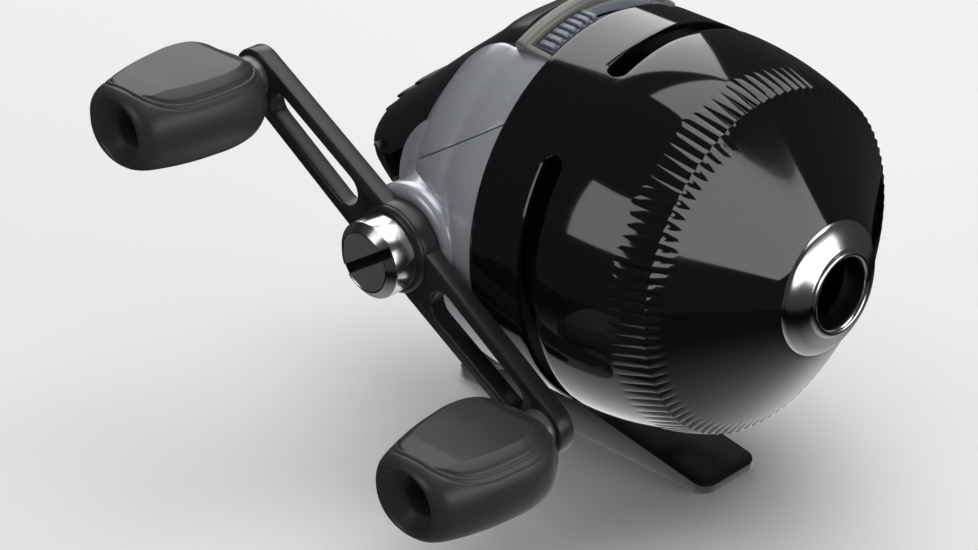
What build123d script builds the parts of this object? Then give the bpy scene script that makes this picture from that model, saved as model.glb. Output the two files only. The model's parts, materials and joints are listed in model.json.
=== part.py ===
from build123d import *
from math import cos, radians, sin, sqrt
import os

# Spincast fishing reel, as an assembly of separate pieces.
# Frame: +Z up, origin at the centre of the reel foot's underside.  The line leaves
# towards -Y, the crank is on the -X side, and the spool turns about a line along Y.
# All sizes are in millimetres.

# ---------------------------------------------------------------- driving sizes
# Foot and stem
FOOT_LENGTH = 68.0
FOOT_WIDTH = 15.5
FOOT_TIP_THICKNESS = 1.5
FOOT_SEAT_THICKNESS = 7.0
FOOT_SEAT_FRONT = -3.0
FOOT_SEAT_REAR = 18.0
STEM_WIDTH = 12.0
STEM_FRONT = -2.5
STEM_REAR = 17.0
COVER_TO_FOOT = 5.2
FOOT_SCREW_Y = (5.5, 13.5)
FOOT_SCREW_RADIUS = 1.5
FOOT_SCREW_HEAD_RADIUS = 3.0
FOOT_SCREW_SUNK = 0.2
FOOT_SCREW_SHORT = 0.6
HEAD_TAPER = 30
CORNER_RADIUS = 3.0

# Front cover
COVER_RADIUS = 37.8
COVER_WALL = 1.0
COVER_REAR = -3.5
COVER_TAPER_START = -21.0
COVER_TAPER_DROP = 0.4
COVER_MID_DROP = 1.8
COVER_MID_SHARE = 0.55
SHOULDER_Y = -42.0
SHOULDER_DROP = 4.8
CONE_SLOPE = 1.482
SLOT_WIDTH = 4.4
SLOT_Y = -17.6
SLOT_SPAN = 86.0
SLOT_ANGLES = (96.8, -23.2, 216.8)

# Nose ring
NOSE_RADIUS = 12.7
NOSE_SEAT_RADIUS = 12.0
NOSE_HOLE_RADIUS = 6.7
NOSE_LIP_RADIUS = 7.8
NOSE_PROUD = 0.5
NOSE_DEPTH = 2.4
NOSE_HOLE_ROUND = 0.6

# Rear housing
BODY_INSET = 0.4
BODY_WALL = 2.0
COVER_GAP = 0.2
DOME_START = 5.0
DOME_REAR = 37.5
DOME_STATIONS = ((12.0, 1.7), (18.0, 5.6), (24.0, 11.6), (30.0, 17.8), (35.0, 23.4))
SEAM_Y = 4.0
SEAM_RISE = 20.5
SEAM_FALL = 0.62

# Deck plate
DECK_FRONT = -8.0
DECK_THICKNESS = 2.0
SKIRT_WALL = 2.0
HUB_RADIUS = 8.0
HUB_LENGTH = 21.0
HEAD_THREAD_START = 1.0
SCREW_CLEAR = 0.5
PILLAR_RADIUS = 3.0
PILLAR_CIRCLE_DROP = 10.4
PILLAR_ANGLES = (50.0, 115.0, 180.0, 245.0, 310.0)
DECK_SCREW_RADIUS = 1.3
DECK_SCREW_HEAD_RADIUS = 2.7
DECK_SCREW_LENGTH = 11.0

# Spool, on the hub
SPOOL_FLANGE_RADIUS = 29.0
SPOOL_ARBOR_RADIUS = 16.0
SPOOL_WIDTH = 17.9
SPOOL_FLANGE = 1.4
DRAG_WASHER_THICKNESS = 1.0
RETAINER_RADIUS = 10.5
RETAINER_THICKNESS = 1.0

# Centre shaft and spinner head
SHAFT_RADIUS = 2.0
SHAFT_FLAT = 1.6
SHAFT_NUT_LENGTH = 3.0
SPINNER_WALL = 1.2
SPINNER_CLEARANCE = 0.7
SPINNER_BOSS_RADIUS = 5.0
SPINNER_BOSS_LENGTH = 6.0
SPINNER_BACKSET = 1.0
SPINNER_DEPTH = 19.0
SPINNER_FACE_RADIUS = 24.5
SPINNER_HOLE_CIRCLE = 19.5
SPINNER_HOLE_RADIUS = 0.9
SPINNER_HOLE_COUNT = 24
PICKUP_PIN_RADIUS = 1.0
PICKUP_PIN_REACH = 1.6
PICKUP_PIN_INSET = 3.0
PICKUP_PIN_HEAD = 0.4
SPINNER_NUT_RADIUS = 4.2
SPINNER_NUT_HEIGHT = 2.5

# Gears, module 1
CROWN_TEETH = 26
CROWN_RADIUS = 13.0
CROWN_FACE = 2.6
CROWN_TOOTH_WIDTH = 1.56
CROWN_TOOTH_HEIGHT = 2.25
CROWN_TAPER = 12.5
CROWN_DISC = 2.0
CROWN_OVERLAP = 0.95
CROWN_RIM = 0.4
CROWN_HUB_WALL = 2.5
PINION_TEETH = 10
PINION_RADIUS = 5.0
PINION_OUTER = 5.7
PINION_ROOT = 3.75
PINION_WIDTH = 6.0
PINION_SLEEVE_RADIUS = 4.0
PINION_SLEEVE_LENGTH = 21.0
PINION_ROOT_HALF = 0.9
PINION_PITCH_HALF = 0.62
PINION_TIP_HALF = 0.3
PINION_BITE = 0.4

# Crank
CRANK_Y = 12.0
CRANK_SHAFT_RADIUS = 3.0
BUSH_RADIUS = 5.0
BUSH_FLANGE_RADIUS = 7.0
BUSH_FLANGE = 0.6
BUSH_INNER_X = -15.0
SHAFT_COVER = 1.0
BOSS_RADIUS = 10.5
BOSS_GAP = 0.8
BOSS_FLARE_RADIUS = 15.0
BOSS_FLARE_X = -22.0
ARM_THICKNESS = 3.8
ARM_HUB_WIDTH = 12.6
ARM_TIP_WIDTH = 10.6
ARM_ANGLE = 32.3
ARM_REACH = 43.7
ARM_SLOT_WIDTH = 4.6
ARM_SLOT_INNER = 13.0
ARM_SLOT_OUTER = 34.0
ARM_COLLAR_RADIUS = 8.8
ARM_COLLAR_HEIGHT = 1.0
ARM_COLLAR_TAPER = 15
NUT_RADIUS = 7.53
NUT_FACE_RADIUS = 5.92
NUT_HEIGHT = 7.24
NUT_CHAMFER = 1.3
NUT_SLOT_WIDTH = 2.0
NUT_SLOT_DEPTH = 1.2
RATCHET_RADIUS = 9.0
RATCHET_DEPTH = 1.6
RATCHET_TEETH = 12
RATCHET_WIDTH = 2.0
RATCHET_RAMP = 3.6
RATCHET_RIM = 0.5
RATCHET_X = -13.5

# Anti-reverse pawl
PAWL_Y = 2.0
PAWL_Z = 16.0
PAWL_HUB_RADIUS = 2.4
PAWL_PIN_RADIUS = 1.2
PAWL_REACH = 8.2
PAWL_LUG = 2.4
PAWL_TIP_WIDTH = 1.6
PAWL_GAP = 0.5

# Knobs
KNOB_LENGTH = 29.5
KNOB_STANDOFF = 2.9
KNOB_WIDTH = 26.0
KNOB_THICKNESS = 19.0
KNOB_BORE_RADIUS = 2.46
KNOB_COUNTERBORE_RADIUS = 3.6
KNOB_COUNTERBORE_DEPTH = 9.5
KNOB_MOUTH_RADIUS = 5.6
KNOB_MOUTH_DEPTH = 3.2
SPINDLE_RADIUS = 2.4
SPINDLE_HEAD_RADIUS = 3.3
SPINDLE_HEAD = 1.4
SPINDLE_SHOULDER_RADIUS = 4.2
SPINDLE_PLAY = 0.2
SPINDLE_SHOULDER_GAP = 0.15
# Knob sections: distance from the inner end as a share of the length, width, thickness
KNOB_SECTIONS = (
    (0.0, 0.46, 0.50),
    (0.1, 0.80, 0.80),
    (0.33, 1.0, 1.0),
    (0.62, 0.92, 0.97),
    (0.88, 0.76, 0.86),
    (1.0, 0.60, 0.70),
)

# Bridge and return spring
BRIDGE_Y = 29.0
BRIDGE_THICKNESS = 2.0
BRIDGE_POST_X = 9.0
BRIDGE_POST_Z = 9.5
BRIDGE_POST_RADIUS = 2.0
BRIDGE_MARGIN = 1.2
SPRING_RADIUS = 3.3
SPRING_WIRE = 0.4
SPRING_TURNS = 5
CAP_RADIUS = 4.5
CAP_LENGTH = 4.6
CAP_FLOOR = 1.1
SHAFT_END_GAP = 0.1

# Thumb button
BUTTON_HALF_WIDTH = 15.3
BUTTON_WALL = 2.2
PIVOT_Y = 7.6
PIVOT_DROP = 6.4
PIVOT_PIN_RADIUS = 1.25
PIVOT_LUG_RADIUS = 3.0
PIVOT_LUG_WIDTH = 3.0
PIVOT_PIN_PLAY = 0.3
PUSH_FACE_Y = 44.0
PUSH_GAP = 0.4
BUTTON_HOOD_GAP = 0.9
BUTTON_EDGE = 1.76
BUTTON_PAD_HALF = 5.0
OPENING_FLOOR_DROP = 11.5

# Drag wheel and its hood
DRAG_REAR = 0.9
DRAG_WIDTH = 3.8
DRAG_RIM = 4.2
DRAG_PAD_RISE = 1.0
DRAG_PAD_ANGLE = 13.5
DRAG_PAD_HALF = 9.5
DRAG_RIB_COUNT = 7
WINDOW_HALF = 24.3
SLIT_HALF = 36.0
SLIT_WIDTH = 1.7
DRAG_PAD_BASE = 0.9
DRAG_RIB_SHARE = 0.7
HOOD_RISE = 2.6
HOOD_HALF = 26.5
HOOD_FRONT = 1.2
HOOD_REAR = 4.4

# Clearances
RUNNING = 0.05
SIDE_PLAY = 0.3
ARM_PLAY = 0.5
NEARLY = 0.05

# ---------------------------------------------------------------- derived places
AXIS_Z = FOOT_SEAT_THICKNESS + COVER_TO_FOOT + COVER_RADIUS
COVER_INNER = COVER_RADIUS - COVER_WALL
SHOULDER_RADIUS = COVER_RADIUS - SHOULDER_DROP
BODY_RADIUS = COVER_RADIUS - BODY_INSET
BODY_INNER = BODY_RADIUS - BODY_WALL
DRAG_PAD_RADIUS = BODY_RADIUS + DRAG_PAD_RISE
HOOD_RADIUS = BODY_RADIUS + HOOD_RISE
BODY_FRONT = COVER_REAR + COVER_GAP
DECK_REAR = DECK_FRONT + DECK_THICKNESS
HUB_FRONT = DECK_FRONT - HUB_LENGTH
PILLAR_CIRCLE = BODY_RADIUS - PILLAR_CIRCLE_DROP
SPOOL_REAR = DECK_FRONT - DRAG_WASHER_THICKNESS - RUNNING
SPOOL_FRONT = SPOOL_REAR - SPOOL_WIDTH
SPINNER_FRONT = SHOULDER_Y - SPINNER_BACKSET
SPINNER_RADIUS = SHOULDER_RADIUS - COVER_WALL - SPINNER_CLEARANCE
SPINNER_REAR = SPINNER_FRONT + SPINNER_DEPTH
PICKUP_PIN_Y = SPINNER_REAR - PICKUP_PIN_INSET
PITCH_X = -PINION_RADIUS
CROWN_TIP_X = PITCH_X + CROWN_OVERLAP
CROWN_FACE_X = CROWN_TIP_X - CROWN_TOOTH_HEIGHT
PINION_FRONT = CRANK_Y - CROWN_RADIUS - PINION_WIDTH / 2
PINION_REAR = PINION_FRONT + PINION_WIDTH
ARM_INNER_X = -(COVER_RADIUS + ARM_PLAY)
ARM_OUTER_X = ARM_INNER_X - ARM_THICKNESS
BOSS_FACE_X = ARM_INNER_X + BOSS_GAP
NUT_FACE_X = ARM_OUTER_X - NUT_HEIGHT
KNOB_INNER_X = ARM_OUTER_X - KNOB_STANDOFF
KNOB_OUTER_X = KNOB_INNER_X - KNOB_LENGTH
SPINDLE_HEAD_X = KNOB_OUTER_X + KNOB_COUNTERBORE_DEPTH - SPINDLE_PLAY
BRIDGE_REAR = BRIDGE_Y + BRIDGE_THICKNESS
CAP_REAR = PUSH_FACE_Y - PUSH_GAP
CAP_FRONT = CAP_REAR - CAP_LENGTH
SHAFT_REAR = CAP_REAR - CAP_FLOOR - SHAFT_END_GAP
PIVOT_Z = AXIS_Z + BODY_RADIUS - PIVOT_DROP
BUTTON_FRONT = HOOD_REAR + BUTTON_HOOD_GAP
OPENING_HALF = BUTTON_HALF_WIDTH + SIDE_PLAY
PIVOT_LUG_X = BUTTON_HALF_WIDTH - BUTTON_WALL - SIDE_PLAY - PIVOT_LUG_WIDTH / 2
DRAG_FRONT = DRAG_REAR - DRAG_WIDTH

# Spool axis: sketches in (y, radius).  Crank axis: sketches in (x, radius).
SPOOL_SIDE = Plane(origin=(0, 0, AXIS_Z), x_dir=(0, 1, 0), z_dir=(1, 0, 0))
SPOOL_AXIS = Axis((0, 0, AXIS_Z), (0, 1, 0))
CRANK_SIDE = Plane(origin=(0, CRANK_Y, AXIS_Z), x_dir=(1, 0, 0), z_dir=(0, -1, 0))
CRANK_AXIS = Axis((0, CRANK_Y, AXIS_Z), (1, 0, 0))
SEAM = Plane(origin=(0, SEAM_Y, AXIS_Z + SEAM_RISE), z_dir=(0, SEAM_FALL, 1))
LATERAL = Plane(origin=(0, 0, 0), x_dir=(0, 1, 0), z_dir=(1, 0, 0))


def spool_face(y):
    """Plane across the spool axis at y, facing +Y, with local y along +Z."""
    return Plane(origin=(0, y, AXIS_Z), x_dir=(-1, 0, 0), z_dir=(0, 1, 0))


def crank_face(x):
    """Plane across the crank axis at x, facing +X, with local x along -Y."""
    return Plane(origin=(x, CRANK_Y, AXIS_Z), x_dir=(0, -1, 0), z_dir=(1, 0, 0))


def cone_y(radius):
    """Place along the spool axis of the cover's outer cone at a radius."""
    return SHOULDER_Y - (SHOULDER_RADIUS - radius) / CONE_SLOPE


def polar(radius, angle):
    """Point at an angle from the top towards the crank side, in a spool_face plane."""
    return (radius * sin(radians(angle)), radius * cos(radians(angle)))


def arm_point(reach):
    """Place (y, z) on the crank arm's centre line."""
    return (CRANK_Y + reach * cos(radians(ARM_ANGLE)), AXIS_Z + reach * sin(radians(ARM_ANGLE)))


def export(builder, label):
    """Label a finished piece and write it."""
    builder.part.label = label
    export_step(builder.part, f"parts/{label}.step")


os.makedirs("parts", exist_ok=True)

# ---------------------------------------------------------------- front cover
CONE_WALL_Y = COVER_WALL * sqrt(1 + CONE_SLOPE**2) / CONE_SLOPE
TAPER_MID = SHOULDER_Y * COVER_MID_SHARE + COVER_TAPER_START * (1 - COVER_MID_SHARE)
TAPER_MID_RADIUS = COVER_RADIUS - COVER_MID_DROP

with BuildPart() as front_cover:
    with BuildSketch(SPOOL_SIDE):
        with BuildLine():
            Polyline((COVER_REAR, COVER_INNER), (COVER_REAR, COVER_RADIUS))
            Line((COVER_REAR, COVER_RADIUS), (COVER_TAPER_START, COVER_RADIUS - COVER_TAPER_DROP))
            ThreePointArc(
                (COVER_TAPER_START, COVER_RADIUS - COVER_TAPER_DROP),
                (TAPER_MID, TAPER_MID_RADIUS),
                (SHOULDER_Y, SHOULDER_RADIUS),
            )
            Polyline(
                (SHOULDER_Y, SHOULDER_RADIUS),
                (cone_y(NOSE_SEAT_RADIUS), NOSE_SEAT_RADIUS),
                (cone_y(NOSE_SEAT_RADIUS) + CONE_WALL_Y, NOSE_SEAT_RADIUS),
                (SHOULDER_Y + COVER_WALL * 0.6, SHOULDER_RADIUS - COVER_WALL),
            )
            ThreePointArc(
                (SHOULDER_Y + COVER_WALL * 0.6, SHOULDER_RADIUS - COVER_WALL),
                (TAPER_MID, TAPER_MID_RADIUS - COVER_WALL),
                (COVER_TAPER_START, COVER_INNER - COVER_TAPER_DROP),
            )
            Polyline(
                (COVER_TAPER_START, COVER_INNER - COVER_TAPER_DROP),
                (DECK_FRONT - 1, COVER_INNER),
                (COVER_REAR, COVER_INNER),
            )
        make_face()
    revolve(axis=SPOOL_AXIS)
    SLOT_MEAN = COVER_RADIUS - COVER_WALL
    for angle in SLOT_ANGLES:
        with BuildSketch(SPOOL_SIDE, mode=Mode.PRIVATE) as bar:
            with Locations((SLOT_Y, SLOT_MEAN)):
                Rectangle(SLOT_WIDTH, 4 * COVER_WALL)
        swept = revolve(bar.sketch, axis=SPOOL_AXIS, revolution_arc=SLOT_SPAN, mode=Mode.PRIVATE)
        add(swept.rotate(SPOOL_AXIS, -(angle + SLOT_SPAN / 2)), mode=Mode.SUBTRACT)
        for end in (angle - SLOT_SPAN / 2, angle + SLOT_SPAN / 2):
            radial = Vector(-sin(radians(end)), 0, cos(radians(end)))
            centre = Vector(0, SLOT_Y, AXIS_Z) + radial * (SLOT_MEAN - 3)
            with BuildSketch(Plane(origin=centre, x_dir=(0, 1, 0), z_dir=radial)):
                Circle(SLOT_WIDTH / 2)
            extrude(amount=6, mode=Mode.SUBTRACT)
export(front_cover, "front_cover")

# ---------------------------------------------------------------- nose ring
NOSE_EDGE_Y = cone_y(NOSE_RADIUS)
NOSE_LIP_Y = cone_y(NOSE_LIP_RADIUS) - NOSE_PROUD * 0.4

with BuildPart() as nose_ring:
    with BuildSketch(SPOOL_SIDE):
        Polygon(
            (cone_y(NOSE_SEAT_RADIUS) + NOSE_DEPTH, NOSE_HOLE_RADIUS),
            (NOSE_LIP_Y + 0.8, NOSE_HOLE_RADIUS),
            (NOSE_LIP_Y, NOSE_HOLE_RADIUS + NOSE_HOLE_ROUND),
            (NOSE_LIP_Y, NOSE_LIP_RADIUS),
            (NOSE_EDGE_Y - NOSE_PROUD, NOSE_RADIUS),
            (NOSE_EDGE_Y, NOSE_RADIUS),
            (cone_y(NOSE_SEAT_RADIUS), NOSE_SEAT_RADIUS),
            (cone_y(NOSE_SEAT_RADIUS) + NOSE_DEPTH, NOSE_SEAT_RADIUS),
            align=None,
        )
    revolve(axis=SPOOL_AXIS)
export(nose_ring, "nose_ring")


# ---------------------------------------------------------------- rear housing
def dome_outline(inset):
    """Curve of the housing's dome, shrunk by a wall."""
    return [(y - 0.6 * inset, BODY_RADIUS - inset - drop) for y, drop in DOME_STATIONS]


def dome(inset, front, mode=Mode.ADD):
    """Solid of revolution under the housing's outer or inner surface."""
    curve = dome_outline(inset)
    radius = BODY_RADIUS - inset
    rear = DOME_REAR - inset
    with BuildPart(mode=Mode.PRIVATE) as blank:
        with BuildSketch(SPOOL_SIDE):
            with BuildLine():
                Polyline((front, 0), (front, radius), (DOME_START, radius))
                Spline((DOME_START, radius), *curve, tangents=((1, 0), (0.5, -1)))
                Polyline(curve[-1], (rear, curve[-1][1] - 3.5), (rear, 0), (front, 0))
            make_face()
        revolve(axis=SPOOL_AXIS)
    return blank.part


OUTER_DOME = dome(0, BODY_FRONT)
PILLAR_LIMIT = dome(0, DECK_REAR)
INNER_DOME = dome(BODY_WALL, BODY_FRONT)
BUTTON_OPENING_FLOOR = AXIS_Z - OPENING_FLOOR_DROP


def pillar_plane(angle):
    """Plane at the deck's rear face, centred on one screw pillar."""
    x, z = polar(PILLAR_CIRCLE, angle)
    return Plane(origin=(-x, DECK_REAR, AXIS_Z + z), x_dir=(-1, 0, 0), z_dir=(0, 1, 0))


def pillar(angle):
    """Screw pillar from the deck's rear face back into the dome."""
    with BuildPart(mode=Mode.PRIVATE) as post:
        with BuildSketch(pillar_plane(angle)):
            Circle(PILLAR_RADIUS)
        extrude(amount=DOME_REAR)
    return post.part & PILLAR_LIMIT


LOWER_ANGLES = [a for a in PILLAR_ANGLES if 90 < a < 270]
UPPER_ANGLES = [a for a in PILLAR_ANGLES if not 90 < a < 270]
FOOT_TOP_PLANE = Plane.XY.offset(FOOT_SEAT_THICKNESS)
STEM_CENTRE_Y = (STEM_FRONT + STEM_REAR) / 2

with BuildPart() as main_body:
    add(OUTER_DOME)
    with BuildSketch(CRANK_SIDE):
        Polygon(
            (BOSS_FACE_X, 0), (BOSS_FACE_X, BOSS_RADIUS), (BOSS_FLARE_X, BOSS_FLARE_RADIUS),
            (BOSS_FLARE_X, 0), align=None,
        )
    revolve(axis=CRANK_AXIS)
    with BuildSketch(FOOT_TOP_PLANE):
        with Locations((0, STEM_CENTRE_Y)):
            RectangleRounded(STEM_WIDTH, STEM_REAR - STEM_FRONT, CORNER_RADIUS)
    extrude(amount=AXIS_Z - BODY_RADIUS - FOOT_SEAT_THICKNESS + 2 * BODY_WALL)
    add(INNER_DOME, mode=Mode.SUBTRACT)
    with BuildSketch(CRANK_SIDE):
        Polygon(
            (BOSS_FACE_X + 1, 0), (BOSS_FACE_X + 1, BOSS_RADIUS), (BUSH_INNER_X, BOSS_RADIUS),
            (BUSH_INNER_X, 0), align=None,
        )
    revolve(axis=CRANK_AXIS)
    for angle in LOWER_ANGLES:
        add(pillar(angle))
    split(bisect_by=SEAM, keep=Keep.BOTTOM)
    with BuildSketch(crank_face(BOSS_FACE_X - 1)):
        Circle(BUSH_RADIUS)
    extrude(amount=BUSH_INNER_X - BOSS_FACE_X + 2, mode=Mode.SUBTRACT)
    with BuildSketch(Plane.XZ.offset(-DOME_REAR / 2)):
        with Locations((0, BUTTON_OPENING_FLOOR + 50)):
            Rectangle(2 * OPENING_HALF, 100)
    extrude(amount=-DOME_REAR, mode=Mode.SUBTRACT)
    for angle in LOWER_ANGLES:
        with BuildSketch(pillar_plane(angle)):
            Circle(DECK_SCREW_RADIUS)
        extrude(amount=DECK_SCREW_LENGTH - DECK_THICKNESS, mode=Mode.SUBTRACT)
    with BuildSketch(FOOT_TOP_PLANE):
        with Locations(*[(0, y) for y in FOOT_SCREW_Y]):
            Circle(FOOT_SCREW_RADIUS)
    extrude(amount=COVER_TO_FOOT + BODY_INSET, mode=Mode.SUBTRACT)
export(main_body, "main_body")

with BuildPart() as rear_cover:
    add(OUTER_DOME)
    add(INNER_DOME, mode=Mode.SUBTRACT)
    for angle in UPPER_ANGLES:
        add(pillar(angle))
    split(bisect_by=SEAM, keep=Keep.TOP)
    with BuildSketch(Plane.XZ.offset(-HOOD_REAR)):
        with Locations((0, AXIS_Z + 50)):
            Rectangle(2 * OPENING_HALF, 140)
    extrude(amount=-DOME_REAR, mode=Mode.SUBTRACT)
    for rear, half in ((HOOD_FRONT, WINDOW_HALF), (BODY_FRONT + SLIT_WIDTH, SLIT_HALF)):
        with BuildSketch(SPOOL_SIDE, mode=Mode.PRIVATE) as window:
            with Locations(((BODY_FRONT - 1 + rear) / 2, BODY_RADIUS)):
                Rectangle(rear - BODY_FRONT + 1, 4 * BODY_WALL)
        cut = revolve(window.sketch, axis=SPOOL_AXIS, revolution_arc=2 * half, mode=Mode.PRIVATE)
        add(cut.rotate(SPOOL_AXIS, -half), mode=Mode.SUBTRACT)
    for side in (-1, 1):
        with BuildSketch(LATERAL.offset(side * PIVOT_LUG_X)):
            with Locations((PIVOT_Y, PIVOT_Z)):
                Circle(PIVOT_LUG_RADIUS)
            Polygon(
                (HOOD_FRONT + 0.3, PIVOT_Z - PIVOT_LUG_RADIUS),
                (PIVOT_Y, PIVOT_Z - PIVOT_LUG_RADIUS),
                (PIVOT_Y, PIVOT_Z + PIVOT_LUG_RADIUS * 0.7),
                (HOOD_REAR, PIVOT_Z + PIVOT_LUG_RADIUS * 0.7),
                (HOOD_FRONT + 0.3, PIVOT_Z + PIVOT_LUG_RADIUS),
                align=None,
            )
        extrude(amount=PIVOT_LUG_WIDTH / 2, both=True)
    with BuildSketch(LATERAL.offset(-BUTTON_HALF_WIDTH)):
        with Locations((PIVOT_Y, PIVOT_Z)):
            Circle(PIVOT_PIN_RADIUS)
    extrude(amount=2 * BUTTON_HALF_WIDTH, mode=Mode.SUBTRACT)
    for angle in UPPER_ANGLES:
        with BuildSketch(pillar_plane(angle)):
            Circle(DECK_SCREW_RADIUS)
        extrude(amount=DECK_SCREW_LENGTH - DECK_THICKNESS, mode=Mode.SUBTRACT)
export(rear_cover, "rear_cover")

with BuildPart() as drag_hood:
    with BuildSketch(SPOOL_SIDE, mode=Mode.PRIVATE) as lip:
        Polygon(
            (HOOD_FRONT, BODY_RADIUS), (HOOD_FRONT, HOOD_RADIUS - 0.6),
            (HOOD_FRONT + 0.6, HOOD_RADIUS), (HOOD_REAR - 0.9, HOOD_RADIUS),
            (HOOD_REAR, HOOD_RADIUS - 1.1), (HOOD_REAR, BODY_RADIUS), align=None,
        )
    arch = revolve(lip.sketch, axis=SPOOL_AXIS, revolution_arc=2 * HOOD_HALF, mode=Mode.PRIVATE)
    add(arch.rotate(SPOOL_AXIS, -HOOD_HALF))
    END_ARC = HOOD_HALF - WINDOW_HALF - 0.3
    for start in (-HOOD_HALF, HOOD_HALF - END_ARC):
        with BuildSketch(SPOOL_SIDE, mode=Mode.PRIVATE) as horn:
            Polygon(
                (BODY_FRONT + 1.8, BODY_RADIUS), (BODY_FRONT + 1.8, HOOD_RADIUS - 1.5),
                (HOOD_FRONT, HOOD_RADIUS - 0.6), (HOOD_FRONT + 0.5, BODY_RADIUS), align=None,
            )
        block = revolve(horn.sketch, axis=SPOOL_AXIS, revolution_arc=END_ARC, mode=Mode.PRIVATE)
        add(block.rotate(SPOOL_AXIS, start))
export(drag_hood, "drag_hood")

with BuildPart() as button_pin:
    with BuildSketch(LATERAL.offset(-BUTTON_HALF_WIDTH + PIVOT_PIN_PLAY)):
        with Locations((PIVOT_Y, PIVOT_Z)):
            Circle(PIVOT_PIN_RADIUS)
    extrude(amount=2 * (BUTTON_HALF_WIDTH - PIVOT_PIN_PLAY))
export(button_pin, "button_pin")

# ---------------------------------------------------------------- deck plate
PAWL_X = RATCHET_X
LUG_X = PAWL_X - PAWL_GAP - PAWL_LUG

with BuildPart() as deck_plate:
    with BuildSketch(SPOOL_SIDE):
        Polygon(
            (HUB_FRONT, PINION_SLEEVE_RADIUS + RUNNING),
            (HUB_FRONT, HUB_RADIUS),
            (DECK_FRONT, HUB_RADIUS),
            (DECK_FRONT, COVER_INNER),
            (BODY_FRONT, COVER_INNER),
            (BODY_FRONT, COVER_INNER - SKIRT_WALL),
            (DECK_REAR, COVER_INNER - SKIRT_WALL),
            (DECK_REAR, PINION_SLEEVE_RADIUS + RUNNING),
            align=None,
        )
    revolve(axis=SPOOL_AXIS)
    with BuildSketch(spool_face(DECK_REAR)):
        with Locations((-BRIDGE_POST_X, BRIDGE_POST_Z), (-BRIDGE_POST_X, -BRIDGE_POST_Z)):
            Circle(BRIDGE_POST_RADIUS)
    extrude(amount=BRIDGE_Y - DECK_REAR)
    with BuildSketch(LATERAL.offset(LUG_X)):
        with Locations(((DECK_REAR - 0.5 + PAWL_Y) / 2, AXIS_Z + PAWL_Z)):
            Rectangle(PAWL_Y - DECK_REAR + 0.5, 2 * PAWL_HUB_RADIUS)
        with Locations((PAWL_Y, AXIS_Z + PAWL_Z)):
            Circle(PAWL_HUB_RADIUS)
    extrude(amount=PAWL_LUG)
    with BuildSketch(LATERAL.offset(LUG_X)):
        with Locations((PAWL_Y, AXIS_Z + PAWL_Z)):
            Circle(PAWL_PIN_RADIUS)
    extrude(amount=PAWL_LUG, mode=Mode.SUBTRACT)
    for angle in PILLAR_ANGLES:
        with BuildSketch(pillar_plane(angle)):
            Circle(DECK_SCREW_RADIUS)
        extrude(amount=-DECK_THICKNESS, mode=Mode.SUBTRACT)
        x, z = polar(PILLAR_CIRCLE, angle)
        mouth = Plane(origin=(-x, DECK_FRONT, AXIS_Z + z), x_dir=(-1, 0, 0), z_dir=(0, 1, 0))
        with BuildSketch(mouth):
            Circle(DECK_SCREW_HEAD_RADIUS)
        with BuildSketch(mouth.offset(DECK_SCREW_HEAD_RADIUS - DECK_SCREW_RADIUS)):
            Circle(DECK_SCREW_RADIUS)
        loft(mode=Mode.SUBTRACT)
export(deck_plate, "deck_plate")

with BuildPart() as deck_screws:
    for angle in PILLAR_ANGLES:
        x, z = polar(PILLAR_CIRCLE, angle)
        mouth = Plane(origin=(-x, DECK_FRONT, AXIS_Z + z), x_dir=(-1, 0, 0), z_dir=(0, 1, 0))
        with BuildSketch(mouth):
            Circle(DECK_SCREW_HEAD_RADIUS)
        with BuildSketch(mouth.offset(DECK_SCREW_HEAD_RADIUS - DECK_SCREW_RADIUS)):
            Circle(DECK_SCREW_RADIUS)
        loft()
        with BuildSketch(mouth.offset(HEAD_THREAD_START)):
            Circle(DECK_SCREW_RADIUS)
        extrude(amount=DECK_SCREW_LENGTH - HEAD_THREAD_START - SCREW_CLEAR)
export(deck_screws, "deck_screws")

with BuildPart() as gear_bridge:
    with BuildSketch(spool_face(BRIDGE_Y)):
        with Locations((-(BRIDGE_POST_X - CAP_RADIUS + BRIDGE_MARGIN) / 2, 0)):
            RectangleRounded(
                BRIDGE_POST_X + CAP_RADIUS + BRIDGE_MARGIN, 2 * (BRIDGE_POST_Z + BRIDGE_POST_RADIUS), 2
            )
        Circle(SHAFT_RADIUS + RUNNING, mode=Mode.SUBTRACT)
    extrude(amount=BRIDGE_THICKNESS)
export(gear_bridge, "gear_bridge")

SPRING_FREE = CAP_FRONT - BRIDGE_REAR - 2 * SPRING_WIRE

with BuildPart() as return_spring:
    with BuildLine():
        coil = Helix(
            pitch=SPRING_FREE / SPRING_TURNS,
            height=SPRING_FREE,
            radius=SPRING_RADIUS,
            center=(0, BRIDGE_REAR + SPRING_WIRE, AXIS_Z),
            direction=(0, 1, 0),
        )
    with BuildSketch(Plane(origin=coil @ 0, z_dir=coil % 0)):
        Circle(SPRING_WIRE)
    sweep(path=coil, is_frenet=True)
export(return_spring, "return_spring")

# ---------------------------------------------------------------- spool and drag
with BuildPart() as drag_washer:
    with BuildSketch(SPOOL_SIDE):
        with Locations((DECK_FRONT - DRAG_WASHER_THICKNESS / 2, (HUB_RADIUS + SPOOL_ARBOR_RADIUS) / 2)):
            Rectangle(DRAG_WASHER_THICKNESS, SPOOL_ARBOR_RADIUS - HUB_RADIUS)
    revolve(axis=SPOOL_AXIS)
export(drag_washer, "drag_washer")

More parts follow.
